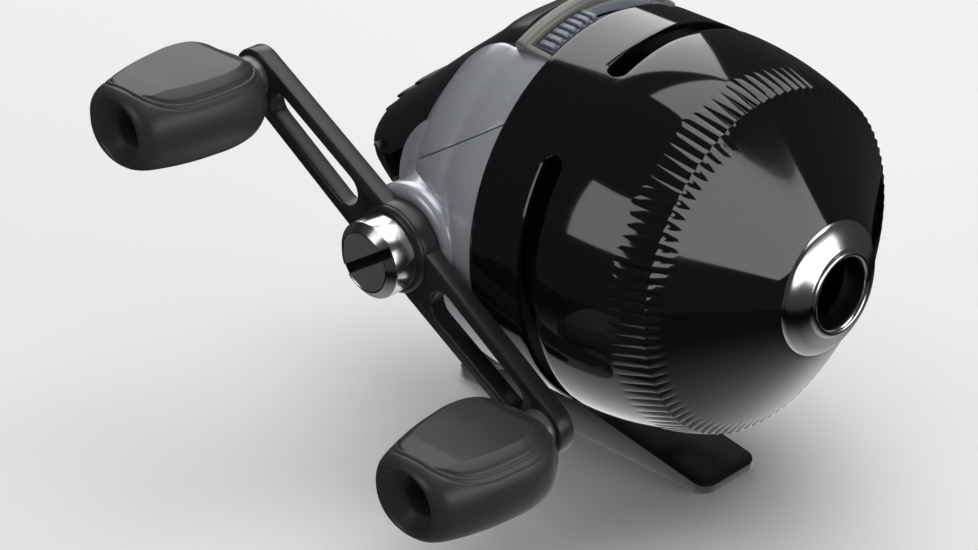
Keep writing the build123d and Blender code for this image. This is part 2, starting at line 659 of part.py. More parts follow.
with BuildPart() as spool:
    with BuildSketch(SPOOL_SIDE):
        Polygon(
            (SPOOL_FRONT, HUB_RADIUS + RUNNING),
            (SPOOL_FRONT, SPOOL_FLANGE_RADIUS),
            (SPOOL_FRONT + SPOOL_FLANGE, SPOOL_FLANGE_RADIUS),
            (SPOOL_FRONT + SPOOL_FLANGE, SPOOL_ARBOR_RADIUS),
            (SPOOL_REAR - SPOOL_FLANGE, SPOOL_ARBOR_RADIUS),
            (SPOOL_REAR - SPOOL_FLANGE, SPOOL_FLANGE_RADIUS),
            (SPOOL_REAR, SPOOL_FLANGE_RADIUS),
            (SPOOL_REAR, HUB_RADIUS + RUNNING),
            align=None,
        )
    revolve(axis=SPOOL_AXIS)
export(spool, "spool")

with BuildPart() as spool_retainer:
    with BuildSketch(spool_face(SPOOL_FRONT - RUNNING)):
        Circle(RETAINER_RADIUS)
        Circle(HUB_RADIUS, mode=Mode.SUBTRACT)
    extrude(amount=-RETAINER_THICKNESS)
export(spool_retainer, "spool_retainer")

PAD_RIB_ARC = 2 * DRAG_PAD_HALF / DRAG_RIB_COUNT
PAD_RIB_WIDTH = PAD_RIB_ARC * DRAG_RIB_SHARE

with BuildPart() as drag_wheel:
    with BuildSketch(spool_face(DRAG_FRONT)):
        Circle(BODY_INNER - 2 * RUNNING)
        Circle(BODY_INNER - DRAG_RIM, mode=Mode.SUBTRACT)
    extrude(amount=DRAG_WIDTH)
    for index in range(DRAG_RIB_COUNT):
        with BuildSketch(SPOOL_SIDE, mode=Mode.PRIVATE) as rib:
            Polygon(
                (DRAG_FRONT, BODY_INNER - 1), (DRAG_FRONT, DRAG_PAD_RADIUS),
                (DRAG_REAR, DRAG_PAD_RADIUS), (DRAG_REAR, BODY_INNER - 1), align=None,
            )
        block = revolve(rib.sketch, axis=SPOOL_AXIS, revolution_arc=PAD_RIB_WIDTH, mode=Mode.PRIVATE)
        middle = DRAG_PAD_ANGLE - DRAG_PAD_HALF + PAD_RIB_ARC * (index + 0.5)
        add(block.rotate(SPOOL_AXIS, -middle - PAD_RIB_WIDTH / 2))
    with BuildSketch(SPOOL_SIDE, mode=Mode.PRIVATE) as web:
        Polygon(
            (DRAG_FRONT, BODY_INNER - 1), (DRAG_FRONT, DRAG_PAD_RADIUS - DRAG_PAD_BASE),
            (DRAG_REAR, DRAG_PAD_RADIUS - DRAG_PAD_BASE), (DRAG_REAR, BODY_INNER - 1), align=None,
        )
    base = revolve(web.sketch, axis=SPOOL_AXIS, revolution_arc=2 * DRAG_PAD_HALF, mode=Mode.PRIVATE)
    add(base.rotate(SPOOL_AXIS, -DRAG_PAD_ANGLE - DRAG_PAD_HALF))
export(drag_wheel, "drag_wheel")

# ---------------------------------------------------------------- centre shaft group
with BuildPart() as centre_shaft:
    SHAFT_FRONT = SPINNER_FRONT - SHAFT_NUT_LENGTH
    with BuildSketch(spool_face(SHAFT_FRONT)):
        Circle(SHAFT_RADIUS)
    extrude(amount=SHAFT_REAR - SHAFT_FRONT)
    with BuildSketch(spool_face(HUB_FRONT - 2)):
        with Locations((0, SHAFT_FLAT + 1), (0, -SHAFT_FLAT - 1)):
            Rectangle(4 * SHAFT_RADIUS, 2)
    extrude(amount=PINION_REAR - HUB_FRONT + 6, mode=Mode.SUBTRACT)
export(centre_shaft, "centre_shaft")

with BuildPart() as spinner_head:
    SLOPE_REAR = SPINNER_FRONT + (SPINNER_RADIUS - SPINNER_FACE_RADIUS) / CONE_SLOPE
    with BuildSketch(SPOOL_SIDE):
        Polygon(
            (SPINNER_FRONT, SHAFT_RADIUS),
            (SPINNER_FRONT, SPINNER_FACE_RADIUS),
            (SLOPE_REAR, SPINNER_RADIUS),
            (SPINNER_REAR, SPINNER_RADIUS),
            (SPINNER_REAR, SPINNER_RADIUS - SPINNER_WALL),
            (SLOPE_REAR + 0.4, SPINNER_RADIUS - SPINNER_WALL),
            (SPINNER_FRONT + SPINNER_WALL, SPINNER_FACE_RADIUS - 0.5),
            (SPINNER_FRONT + SPINNER_WALL, SPINNER_BOSS_RADIUS + 1),
            (SPINNER_FRONT + SPINNER_BOSS_LENGTH, SPINNER_BOSS_RADIUS),
            (SPINNER_FRONT + SPINNER_BOSS_LENGTH, SHAFT_RADIUS),
            align=None,
        )
    revolve(axis=SPOOL_AXIS)
    with BuildSketch(spool_face(SPINNER_FRONT)):
        with PolarLocations(SPINNER_HOLE_CIRCLE, SPINNER_HOLE_COUNT):
            Circle(SPINNER_HOLE_RADIUS)
    extrude(amount=SPINNER_WALL, mode=Mode.SUBTRACT)
    for side in (-1, 1):
        with BuildSketch(Plane(origin=(0, PICKUP_PIN_Y, AXIS_Z), z_dir=(side, 0, 0))):
            Circle(PICKUP_PIN_RADIUS)
        extrude(amount=SPINNER_RADIUS + 1, mode=Mode.SUBTRACT)
export(spinner_head, "spinner_head")

with BuildPart() as pickup_pins:
    for side in (-1, 1):
        start = SPINNER_RADIUS - SPINNER_WALL - PICKUP_PIN_HEAD
        with BuildSketch(Plane(origin=(side * start, PICKUP_PIN_Y, AXIS_Z), z_dir=(side, 0, 0))):
            Circle(PICKUP_PIN_RADIUS)
        extrude(amount=SPINNER_WALL + PICKUP_PIN_HEAD + PICKUP_PIN_REACH)
export(pickup_pins, "pickup_pins")

with BuildPart() as spinner_nut:
    with BuildSketch(spool_face(SPINNER_FRONT)):
        RegularPolygon(SPINNER_NUT_RADIUS, 6)
        Circle(SHAFT_RADIUS, mode=Mode.SUBTRACT)
    extrude(amount=-SPINNER_NUT_HEIGHT)
export(spinner_nut, "spinner_nut")

with BuildPart() as thrust_cap:
    with BuildSketch(spool_face(CAP_FRONT)):
        Circle(CAP_RADIUS)
    extrude(amount=CAP_LENGTH)
    with BuildSketch(spool_face(CAP_FRONT)):
        Circle(SHAFT_RADIUS + RUNNING)
    extrude(amount=CAP_LENGTH - CAP_FLOOR, mode=Mode.SUBTRACT)
export(thrust_cap, "thrust_cap")

# ---------------------------------------------------------------- gears
with BuildPart() as pinion:
    with BuildSketch(spool_face(PINION_FRONT)):
        Circle(PINION_ROOT)
        with PolarLocations(0, PINION_TEETH):
            Polygon(
                (PINION_ROOT - PINION_BITE, -PINION_ROOT_HALF), (PINION_RADIUS, -PINION_PITCH_HALF),
                (PINION_OUTER, -PINION_TIP_HALF), (PINION_OUTER, PINION_TIP_HALF),
                (PINION_RADIUS, PINION_PITCH_HALF), (PINION_ROOT - PINION_BITE, PINION_ROOT_HALF),
                align=None,
            )
    extrude(amount=PINION_WIDTH)
    with BuildSketch(spool_face(PINION_FRONT)):
        Circle(PINION_SLEEVE_RADIUS)
    extrude(amount=-PINION_SLEEVE_LENGTH)
    with BuildSketch(spool_face(PINION_FRONT - PINION_SLEEVE_LENGTH)):
        Circle(SHAFT_RADIUS + RUNNING)
        Rectangle(4 * SHAFT_RADIUS, 2 * (SHAFT_FLAT + RUNNING), mode=Mode.INTERSECT)
    extrude(amount=PINION_SLEEVE_LENGTH + PINION_WIDTH, mode=Mode.SUBTRACT)
export(pinion, "pinion")

with BuildPart() as drive_gear:
    with BuildSketch(crank_face(CROWN_FACE_X)):
        Circle(CROWN_RADIUS + CROWN_FACE / 2 + CROWN_RIM)
    extrude(amount=-CROWN_DISC)
    with BuildSketch(crank_face(CROWN_FACE_X - CROWN_DISC)):
        Circle(CRANK_SHAFT_RADIUS + CROWN_HUB_WALL)
    extrude(amount=-(CROWN_FACE_X - CROWN_DISC - RATCHET_X - RATCHET_WIDTH))
    with BuildSketch(crank_face(CROWN_FACE_X)):
        with PolarLocations(CROWN_RADIUS, CROWN_TEETH, start_angle=180 / CROWN_TEETH):
            Rectangle(CROWN_FACE, CROWN_TOOTH_WIDTH)
    extrude(amount=CROWN_TOOTH_HEIGHT, taper=CROWN_TAPER)
    with BuildSketch(crank_face(CROWN_FACE_X)):
        Circle(CRANK_SHAFT_RADIUS)
    extrude(amount=RATCHET_X - CROWN_FACE_X, mode=Mode.SUBTRACT)
export(drive_gear, "drive_gear")

with BuildPart() as ratchet_wheel:
    with BuildSketch(crank_face(RATCHET_X)):
        Circle(RATCHET_RADIUS)
        with PolarLocations(RATCHET_RADIUS, RATCHET_TEETH):
            Polygon(
                (RATCHET_RIM, 0), (-RATCHET_DEPTH, 0), (RATCHET_RIM, RATCHET_RAMP),
                align=None, mode=Mode.SUBTRACT,
            )
        Circle(CRANK_SHAFT_RADIUS, mode=Mode.SUBTRACT)
    extrude(amount=RATCHET_WIDTH)
export(ratchet_wheel, "ratchet_wheel")

PAWL_TIP = (PAWL_Y + PAWL_REACH * 0.6, AXIS_Z + PAWL_Z - PAWL_REACH * 0.8)

with BuildPart() as pawl:
    with BuildSketch(LATERAL.offset(PAWL_X)):
        with Locations((PAWL_Y, AXIS_Z + PAWL_Z)):
            Circle(PAWL_HUB_RADIUS)
        Polygon(
            (PAWL_Y + 1.9, AXIS_Z + PAWL_Z + 1.2), PAWL_TIP,
            (PAWL_TIP[0] - PAWL_TIP_WIDTH, PAWL_TIP[1]), (PAWL_Y - 2.2, AXIS_Z + PAWL_Z - 0.8),
            align=None,
        )
        with Locations((PAWL_Y, AXIS_Z + PAWL_Z)):
            Circle(PAWL_PIN_RADIUS + RUNNING, mode=Mode.SUBTRACT)
    extrude(amount=RATCHET_WIDTH)
export(pawl, "pawl")

with BuildPart() as pawl_pin:
    with BuildSketch(LATERAL.offset(LUG_X)):
        with Locations((PAWL_Y, AXIS_Z + PAWL_Z)):
            Circle(PAWL_PIN_RADIUS)
    extrude(amount=PAWL_LUG + RATCHET_WIDTH + 3 * PAWL_GAP)
export(pawl_pin, "pawl_pin")

# ---------------------------------------------------------------- crank
with BuildPart() as crank_bushing:
    with BuildSketch(CRANK_SIDE):
        Polygon(
            (BOSS_FACE_X - BUSH_FLANGE, CRANK_SHAFT_RADIUS + RUNNING),
            (BOSS_FACE_X - BUSH_FLANGE, BUSH_FLANGE_RADIUS),
            (BOSS_FACE_X, BUSH_FLANGE_RADIUS),
            (BOSS_FACE_X, BUSH_RADIUS),
            (BUSH_INNER_X, BUSH_RADIUS),
            (BUSH_INNER_X, CRANK_SHAFT_RADIUS + RUNNING),
            align=None,
        )
    revolve(axis=CRANK_AXIS)
export(crank_bushing, "crank_bushing")

with BuildPart() as crank_shaft:
    with BuildSketch(crank_face(CROWN_FACE_X)):
        Circle(CRANK_SHAFT_RADIUS)
    extrude(amount=-(CROWN_FACE_X - NUT_FACE_X - NUT_SLOT_DEPTH - SHAFT_COVER))
export(crank_shaft, "crank_shaft")

ARM_PLANE = Plane(
    origin=(ARM_OUTER_X, CRANK_Y, AXIS_Z),
    x_dir=(0, cos(radians(ARM_ANGLE)), sin(radians(ARM_ANGLE))),
    z_dir=(1, 0, 0),
)

with BuildPart() as crank_arm:
    with BuildSketch(ARM_PLANE):
        Polygon(
            (-ARM_REACH, -ARM_TIP_WIDTH / 2), (0, -ARM_HUB_WIDTH / 2), (ARM_REACH, -ARM_TIP_WIDTH / 2),
            (ARM_REACH, ARM_TIP_WIDTH / 2), (0, ARM_HUB_WIDTH / 2), (-ARM_REACH, ARM_TIP_WIDTH / 2),
            align=None,
        )
        with Locations((-ARM_REACH, 0), (ARM_REACH, 0)):
            Circle(ARM_TIP_WIDTH / 2)
        Circle(ARM_COLLAR_RADIUS)
        SLOT_MIDDLE = (ARM_SLOT_INNER + ARM_SLOT_OUTER) / 2
        with Locations((-SLOT_MIDDLE, 0), (SLOT_MIDDLE, 0)):
            SlotOverall(ARM_SLOT_OUTER - ARM_SLOT_INNER, ARM_SLOT_WIDTH, mode=Mode.SUBTRACT)
    extrude(amount=ARM_THICKNESS)
    with BuildSketch(ARM_PLANE):
        Circle(ARM_COLLAR_RADIUS)
    extrude(amount=-ARM_COLLAR_HEIGHT, taper=ARM_COLLAR_TAPER)
    with BuildSketch(ARM_PLANE.offset(ARM_THICKNESS)):
        Circle(CRANK_SHAFT_RADIUS)
        with Locations((-ARM_REACH, 0), (ARM_REACH, 0)):
            Circle(SPINDLE_RADIUS)
    extrude(amount=-(ARM_THICKNESS + ARM_COLLAR_HEIGHT), mode=Mode.SUBTRACT)
export(crank_arm, "crank_arm")

NUT_BASE_X = ARM_OUTER_X - ARM_COLLAR_HEIGHT

with BuildPart() as crank_nut:
    with BuildSketch(CRANK_SIDE):
        Polygon(
            (NUT_BASE_X, 0), (NUT_BASE_X, NUT_RADIUS),
            (NUT_FACE_X + NUT_CHAMFER, NUT_RADIUS), (NUT_FACE_X, NUT_FACE_RADIUS),
            (NUT_FACE_X, 0), align=None,
        )
    revolve(axis=CRANK_AXIS)
    with BuildSketch(Plane(origin=(NUT_FACE_X, CRANK_Y, AXIS_Z), x_dir=(0, 1, 0), z_dir=(1, 0, 0))):
        Rectangle(2 * NUT_RADIUS, NUT_SLOT_WIDTH, rotation=-ARM_ANGLE)
    extrude(amount=NUT_SLOT_DEPTH, mode=Mode.SUBTRACT)
    with BuildSketch(crank_face(NUT_BASE_X)):
        Circle(CRANK_SHAFT_RADIUS)
    extrude(amount=-(NUT_BASE_X - NUT_FACE_X - NUT_SLOT_DEPTH - SHAFT_COVER), mode=Mode.SUBTRACT)
export(crank_nut, "crank_nut")

with BuildPart() as knob_spindles:
    for reach in (-ARM_REACH, ARM_REACH):
        y, z = arm_point(reach)
        with BuildSketch(Plane(origin=(0, y, z), x_dir=(1, 0, 0), z_dir=(0, -1, 0))):
            Polygon(
                (ARM_INNER_X, 0), (ARM_INNER_X, SPINDLE_RADIUS),
                (ARM_OUTER_X, SPINDLE_RADIUS), (ARM_OUTER_X, SPINDLE_SHOULDER_RADIUS),
                (KNOB_INNER_X + SPINDLE_SHOULDER_GAP, SPINDLE_SHOULDER_RADIUS),
                (KNOB_INNER_X + SPINDLE_SHOULDER_GAP, SPINDLE_RADIUS),
                (SPINDLE_HEAD_X, SPINDLE_RADIUS), (SPINDLE_HEAD_X, SPINDLE_HEAD_RADIUS),
                (SPINDLE_HEAD_X - SPINDLE_HEAD, SPINDLE_HEAD_RADIUS), (SPINDLE_HEAD_X - SPINDLE_HEAD, 0),
                align=None,
            )
        revolve(axis=Axis((0, y, z), (1, 0, 0)))
export(knob_spindles, "knob_spindles")

for name, reach in (("knob_upper", ARM_REACH), ("knob_lower", -ARM_REACH)):
    knob_y, knob_z = arm_point(reach)
    with BuildPart() as knob:
        for share, width, thickness in KNOB_SECTIONS:
            place = KNOB_INNER_X - share * KNOB_LENGTH
            with BuildSketch(Plane(origin=(place, knob_y, knob_z), x_dir=(0, 1, 0), z_dir=(-1, 0, 0))):
                Ellipse(width * KNOB_WIDTH / 2, thickness * KNOB_THICKNESS / 2)
        loft()
        knob_face = Plane(origin=(KNOB_OUTER_X, knob_y, knob_z), x_dir=(0, 1, 0), z_dir=(1, 0, 0))
        with BuildSketch(knob_face):
            Circle(KNOB_BORE_RADIUS)
        extrude(amount=KNOB_LENGTH, mode=Mode.SUBTRACT)
        with BuildSketch(knob_face):
            Circle(KNOB_COUNTERBORE_RADIUS)
        extrude(amount=KNOB_COUNTERBORE_DEPTH, mode=Mode.SUBTRACT)
        with BuildSketch(knob_face):
            Circle(KNOB_MOUTH_RADIUS)
        with BuildSketch(knob_face.offset(KNOB_MOUTH_DEPTH)):
            Circle(KNOB_COUNTERBORE_RADIUS)
        loft(mode=Mode.SUBTRACT)
    export(knob, name)

# ---------------------------------------------------------------- thumb button
TOP_Z = AXIS_Z + BODY_RADIUS
# Side outline of the button's outer skin, from its front edge over the top to its rear lower edge.
# The front follows the top of the housing and the rear follows the spool axis.
SKIN = (
    (BUTTON_FRONT, TOP_Z + 0.9),
    (10.8, TOP_Z - 1.3),
    (16.4, TOP_Z - 5.7),
    (27.4, TOP_Z - 13.9),
    (40.0, AXIS_Z + 13.5),
    (45.5, AXIS_Z + 9.1),
    (49.3, AXIS_Z + 4.8),
    (51.2, AXIS_Z + 0.4),
    (50.4, AXIS_Z - 3.3),
    (47.0, AXIS_Z - 7.2),
    (44.5, AXIS_Z - 9.0),
)
# Lower edge of the button's side walls, from rear to front
HEM = (
    (39.0, AXIS_Z - 8.0),
    (34.0, AXIS_Z - 2.6),
    (29.0, AXIS_Z + 7.4),
    (22.0, TOP_Z - 20.0),
    (14.0, TOP_Z - 12.0),
    (10.5, PIVOT_Z - PIVOT_LUG_RADIUS),
    (BUTTON_FRONT + 0.3, PIVOT_Z - PIVOT_LUG_RADIUS),
)


def inset(points, wall):
    """Shift an open polyline to its inner (right-hand) side by a wall."""
    shifted = []
    last = len(points) - 1
    for index, point in enumerate(points):
        before = points[max(index - 1, 0)]
        after = points[min(index + 1, last)]
        run = (after[0] - before[0], after[1] - before[1])
        length = sqrt(run[0] ** 2 + run[1] ** 2)
        shifted.append((point[0] + wall * run[1] / length, point[1] - wall * run[0] / length))
    return shifted


def on_skin(point):
    """Whether a point is the middle of one of the outer skin's straight runs."""
    middles = [Vector(point.X, (a[0] + b[0]) / 2, (a[1] + b[1]) / 2) for a, b in zip(SKIN, SKIN[1:])]
    return any((point - middle).length < NEARLY for middle in middles)


INNER_SKIN = inset(SKIN, BUTTON_WALL)

with BuildPart() as thumb_button:
    with BuildSketch(LATERAL):
        Polygon(*SKIN, *reversed(INNER_SKIN), align=None)
    extrude(amount=BUTTON_HALF_WIDTH, both=True)
    for inner_face in (BUTTON_HALF_WIDTH - BUTTON_WALL, -BUTTON_HALF_WIDTH):
        with BuildSketch(LATERAL.offset(inner_face)):
            Polygon(*SKIN, *HEM, align=None)
        extrude(amount=BUTTON_WALL)
    with BuildSketch(LATERAL):
        Polygon(
            (PUSH_FACE_Y, AXIS_Z + 6.5), (PUSH_FACE_Y, AXIS_Z - 3.0),
            (49.0, AXIS_Z - 3.0), (48.6, AXIS_Z + 3), (46.0, AXIS_Z + 6.5), align=None,
        )
    extrude(amount=BUTTON_PAD_HALF, both=True)
    side_edges = [
        edge
        for edge in thumb_button.edges().filter_by(Plane.YZ)
        if abs(abs(edge.center().X) - BUTTON_HALF_WIDTH) < NEARLY
    ]
    chamfer([edge for edge in side_edges if on_skin(edge.center())], BUTTON_EDGE)
    with BuildSketch(LATERAL.offset(-BUTTON_HALF_WIDTH - 1)):
        with Locations((PIVOT_Y, PIVOT_Z)):
            Circle(PIVOT_PIN_RADIUS + RUNNING)
    extrude(amount=2 * BUTTON_HALF_WIDTH + 2, mode=Mode.SUBTRACT)
export(thumb_button, "thumb_button")

# ---------------------------------------------------------------- foot
HALF_FOOT = FOOT_LENGTH / 2

with BuildPart() as reel_foot:
    with BuildSketch(LATERAL.offset(-FOOT_WIDTH / 2)):
        Polygon(
            (-HALF_FOOT, 0), (HALF_FOOT, 0), (HALF_FOOT, FOOT_TIP_THICKNESS),
            (FOOT_SEAT_REAR, FOOT_SEAT_THICKNESS), (FOOT_SEAT_FRONT, FOOT_SEAT_THICKNESS),
            (-HALF_FOOT, FOOT_TIP_THICKNESS), align=None,
        )
    extrude(amount=FOOT_WIDTH)
    corners = reel_foot.edges().filter_by(Axis.Z).group_by(SortBy.LENGTH)[0]
    fillet(corners, CORNER_RADIUS)
    for y in FOOT_SCREW_Y:
        with BuildSketch(Plane.XY):
            with Locations((0, y)):
                Circle(FOOT_SCREW_RADIUS)
        extrude(amount=FOOT_SEAT_THICKNESS, mode=Mode.SUBTRACT)
        with BuildSketch(Plane.XY):
            with Locations((0, y)):
                Circle(FOOT_SCREW_HEAD_RADIUS)
        extrude(amount=FOOT_SCREW_HEAD_RADIUS, mode=Mode.SUBTRACT, taper=HEAD_TAPER)
export(reel_foot, "reel_foot")

with BuildPart() as foot_screws:
    for y in FOOT_SCREW_Y:
        with BuildSketch(Plane.XY.offset(FOOT_SCREW_SUNK)):
            with Locations((0, y)):
                Circle(FOOT_SCREW_RADIUS)
        extrude(amount=FOOT_SEAT_THICKNESS + COVER_TO_FOOT - FOOT_SCREW_SHORT)
        with BuildSketch(Plane.XY):
            with Locations((0, y)):
                Circle(FOOT_SCREW_HEAD_RADIUS)
        extrude(amount=FOOT_SCREW_HEAD_RADIUS, taper=HEAD_TAPER)
        with BuildSketch(Plane.XY):
            with Locations((0, y)):
                Circle(FOOT_SCREW_HEAD_RADIUS + 1)
        extrude(amount=FOOT_SCREW_SUNK, mode=Mode.SUBTRACT)
export(foot_screws, "foot_screws")
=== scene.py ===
import json
from math import asin, atan2, cos, degrees, exp, pi, radians, sin, sqrt

import bpy
from mathutils import Matrix, Vector


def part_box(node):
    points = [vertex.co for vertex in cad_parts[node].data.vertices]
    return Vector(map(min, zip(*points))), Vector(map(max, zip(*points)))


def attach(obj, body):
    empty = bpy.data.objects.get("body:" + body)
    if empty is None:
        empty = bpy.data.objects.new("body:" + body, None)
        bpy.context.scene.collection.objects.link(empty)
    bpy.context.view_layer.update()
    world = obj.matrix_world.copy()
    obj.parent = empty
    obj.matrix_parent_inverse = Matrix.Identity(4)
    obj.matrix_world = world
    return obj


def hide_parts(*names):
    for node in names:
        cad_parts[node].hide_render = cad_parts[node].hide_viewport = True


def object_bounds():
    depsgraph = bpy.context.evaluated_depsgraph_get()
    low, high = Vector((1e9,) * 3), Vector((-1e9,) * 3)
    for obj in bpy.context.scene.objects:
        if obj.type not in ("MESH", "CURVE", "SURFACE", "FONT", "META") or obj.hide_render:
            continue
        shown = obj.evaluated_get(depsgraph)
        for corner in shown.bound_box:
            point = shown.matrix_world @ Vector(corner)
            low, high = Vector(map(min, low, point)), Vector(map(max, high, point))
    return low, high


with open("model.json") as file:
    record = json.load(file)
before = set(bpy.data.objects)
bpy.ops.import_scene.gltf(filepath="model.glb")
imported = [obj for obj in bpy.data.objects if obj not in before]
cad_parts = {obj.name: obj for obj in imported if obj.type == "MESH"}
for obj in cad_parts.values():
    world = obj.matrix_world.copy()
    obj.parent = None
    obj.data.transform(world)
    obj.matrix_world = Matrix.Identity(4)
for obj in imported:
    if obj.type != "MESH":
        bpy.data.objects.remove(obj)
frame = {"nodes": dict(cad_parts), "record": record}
CAD_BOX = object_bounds()
MM = 0.001

# ------------------------------------------------------------------ places read from the frame
JOINTS = {joint["name"]: joint for joint in frame["record"]["behaviour"]["joints"]}
AXIS_Z = JOINTS["spool_spin"]["pos_m"][2] / MM
CRANK_Y = JOINTS["crank_spin"]["pos_m"][1] / MM


def span(node):
    """A CAD node's box in millimetres."""
    low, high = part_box(node)
    return [value / MM for value in low], [value / MM for value in high]


COVER_HIGH = span("front_cover")[1]
NOSE_LOW = span("nose_ring")[0]
ARM_HIGH = span("crank_arm")[1]
NUT_LOW, NUT_HIGH = span("crank_nut")
FOOT_HIGH = span("reel_foot")[1]
BODY_LOW, BODY_HIGH = span("main_body")
KNOB_BOXES = {name: span(name) for name in ("knob_upper", "knob_lower")}

COVER_RADIUS = COVER_HIGH[0]
COVER_REAR = COVER_HIGH[1]
BODY_RADIUS = BODY_HIGH[0]
BODY_FRONT = BODY_LOW[1]
COVER_BARREL = 38.5
SHOULDER_DROP = 4.8
SHOULDER_Y = COVER_REAR - COVER_BARREL
SHOULDER_RADIUS = COVER_RADIUS - SHOULDER_DROP
CONE_SLOPE = 1.482
ARM_INNER_X = ARM_HIGH[0]
ARM_THICKNESS = 3.8
ARM_OUTER_X = ARM_INNER_X - ARM_THICKNESS
ARM_REACH = 43.7
ARM_ANGLE = radians(32.3)


# ------------------------------------------------------------------ making tools
def start_clean():
    """Leave edit mode with nothing selected."""
    if bpy.context.object and bpy.context.object.mode != "OBJECT":
        bpy.ops.object.mode_set(mode="OBJECT")
    bpy.ops.object.select_all(action="DESELECT")


def only(piece):
    """Make one piece the selected and active object."""
    start_clean()
    piece.select_set(True)
    bpy.context.view_layer.objects.active = piece


def settle(piece):
    """Put the piece's place into its mesh."""
    only(piece)
    bpy.ops.object.transform_apply(location=True, rotation=True, scale=True)


def modify(piece, kind, **settings):
    """Add a modifier and apply it."""
    only(piece)
    modifier = piece.modifiers.new(kind.lower(), kind)
    for key, value in settings.items():
        setattr(modifier, key, value)
    bpy.ops.object.modifier_apply(modifier=modifier.name)


def tidy_mesh(piece, merge=0.004):
    """Merge doubled points and turn the faces outward."""
    only(piece)
    bpy.ops.object.mode_set(mode="EDIT")
    bpy.ops.mesh.select_all(action="SELECT")
    bpy.ops.mesh.remove_doubles(threshold=merge * MM)
    bpy.ops.mesh.normals_make_consistent(inside=False)
    bpy.ops.object.mode_set(mode="OBJECT")


def smooth(piece, angle=35):
    """Shade smooth, keeping edges sharper than an angle."""
    only(piece)
    bpy.ops.object.shade_smooth_by_angle(angle=radians(angle))


def soften(piece, width, segments=2, angle=30):
    """Round the edges that turn by more than an angle."""
    modify(piece, "BEVEL", width=width * MM, segments=segments, limit_method="ANGLE",
           angle_limit=radians(angle), harden_normals=False, use_clamp_overlap=True)


def finish_piece(piece, body, slot, material, *nodes, angle=35):
    """Smooth a piece, give it its material, and hang it on its body."""
    smooth(piece, angle)
    piece.data.materials.clear()
    piece.data.materials.append(material)
    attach(piece, body)
    if nodes:
        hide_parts(*nodes)
    return piece


def turned(name, stations, centre, along="Y", steps=128, closed=False):
    """A ring of points extruded from station to station, each (place, radius), about an axis."""
    start_clean()
    turn = {"Y": (pi / 2, 0, 0), "X": (0, pi / 2, 0), "Z": (0, 0, 0)}[along]
    lane = {"X": 0, "Y": 1, "Z": 2}[along]

    def middle(place):
        point = [value * MM for value in centre]
        point[lane] = place * MM
        return point

    place, radius = stations[0]
    bpy.ops.mesh.primitive_circle_add(
        vertices=steps, radius=radius * MM, location=middle(place), rotation=turn)
    piece = bpy.context.object
    piece.name = name
    settle(piece)
    bpy.ops.object.mode_set(mode="EDIT")
    bpy.ops.mesh.select_mode(type="VERT")
    bpy.ops.mesh.select_all(action="SELECT")
    for next_place, next_radius in stations[1:]:
        move = [0, 0, 0]
        move[lane] = (next_place - place) * MM
        bpy.ops.mesh.extrude_region_move(TRANSFORM_OT_translate={"value": move})
        grow = next_radius / radius
        if abs(grow - 1) > 1e-9:
            bpy.ops.transform.resize(value=(grow, grow, grow), center_override=middle(next_place))
        place, radius = next_place, next_radius
    bpy.ops.object.mode_set(mode="OBJECT")
    if closed:
        tidy_mesh(piece)
    return piece


def filled_turned(name, stations, centre, along="X", steps=96):
    """A turned solid whose first and last rings are filled."""
    piece = turned(name, stations, centre, along, steps)
    cap_open_rings(piece)
    tidy_mesh(piece)
    return piece


def cap_open_rings(piece):
    """Fill every open boundary loop with one face."""
    only(piece)
    bpy.ops.object.mode_set(mode="EDIT")
    bpy.ops.mesh.select_mode(type="EDGE")
    bpy.ops.mesh.select_all(action="SELECT")
    bpy.ops.mesh.fill_holes(sides=0)
    bpy.ops.object.mode_set(mode="OBJECT")


def plate(name, outlines, thickness, rounding, where, steps=2):
    """A flat plate from closed outlines (the first is the outer one), with rounded edges."""
    start_clean()
    curve = bpy.data.curves.new(name, "CURVE")
    curve.dimensions = "2D"
    curve.fill_mode = "BOTH"
    for outline in outlines:
        spline = curve.splines.new("POLY")
        spline.points.add(len(outline) - 1)
        for point, (u, v) in zip(spline.points, outline):
            point.co = (u * MM, v * MM, 0, 1)
        spline.use_cyclic_u = True
    curve.extrude = (thickness / 2 - rounding) * MM
    curve.bevel_depth = rounding * MM
    curve.bevel_resolution = steps
    curve.offset = -rounding * MM
    piece = bpy.data.objects.new(name, curve)
    bpy.context.collection.objects.link(piece)
    only(piece)
    bpy.ops.object.convert(target="MESH")
    piece = bpy.context.object
    piece.name = name
    piece.matrix_world = where
    settle(piece)
    tidy_mesh(piece, 0.002)
    return piece


def arc(centre, radius, first, last, steps=16):
    """Points round an arc, in degrees."""
    return [
        (centre[0] + radius * cos(radians(first + (last - first) * k / steps)),
         centre[1] + radius * sin(radians(first + (last - first) * k / steps)))
        for k in range(steps + 1)
    ]


def cut(piece, cutter, operation="DIFFERENCE"):
    """Boolean with a cutter, which is then removed."""
    modify(piece, "BOOLEAN", operation=operation, object=cutter, solver="EXACT")
    bpy.data.objects.remove(cutter, do_unlink=True)


def block(name, low, high):
    """A box between two corners, in millimetres."""
    start_clean()
    bpy.ops.mesh.primitive_cube_add(size=1)
    piece = bpy.context.object
    piece.name = name
    piece.scale = [(b - a) * MM for a, b in zip(low, high)]
    piece.location = [(a + b) / 2 * MM for a, b in zip(low, high)]
    settle(piece)
    return piece


def join(pieces):
    """Join several meshes into the first."""
    start_clean()
    for piece in pieces:
        piece.select_set(True)
    bpy.context.view_layer.objects.active = pieces[0]
    bpy.ops.object.join()
    return pieces[0]


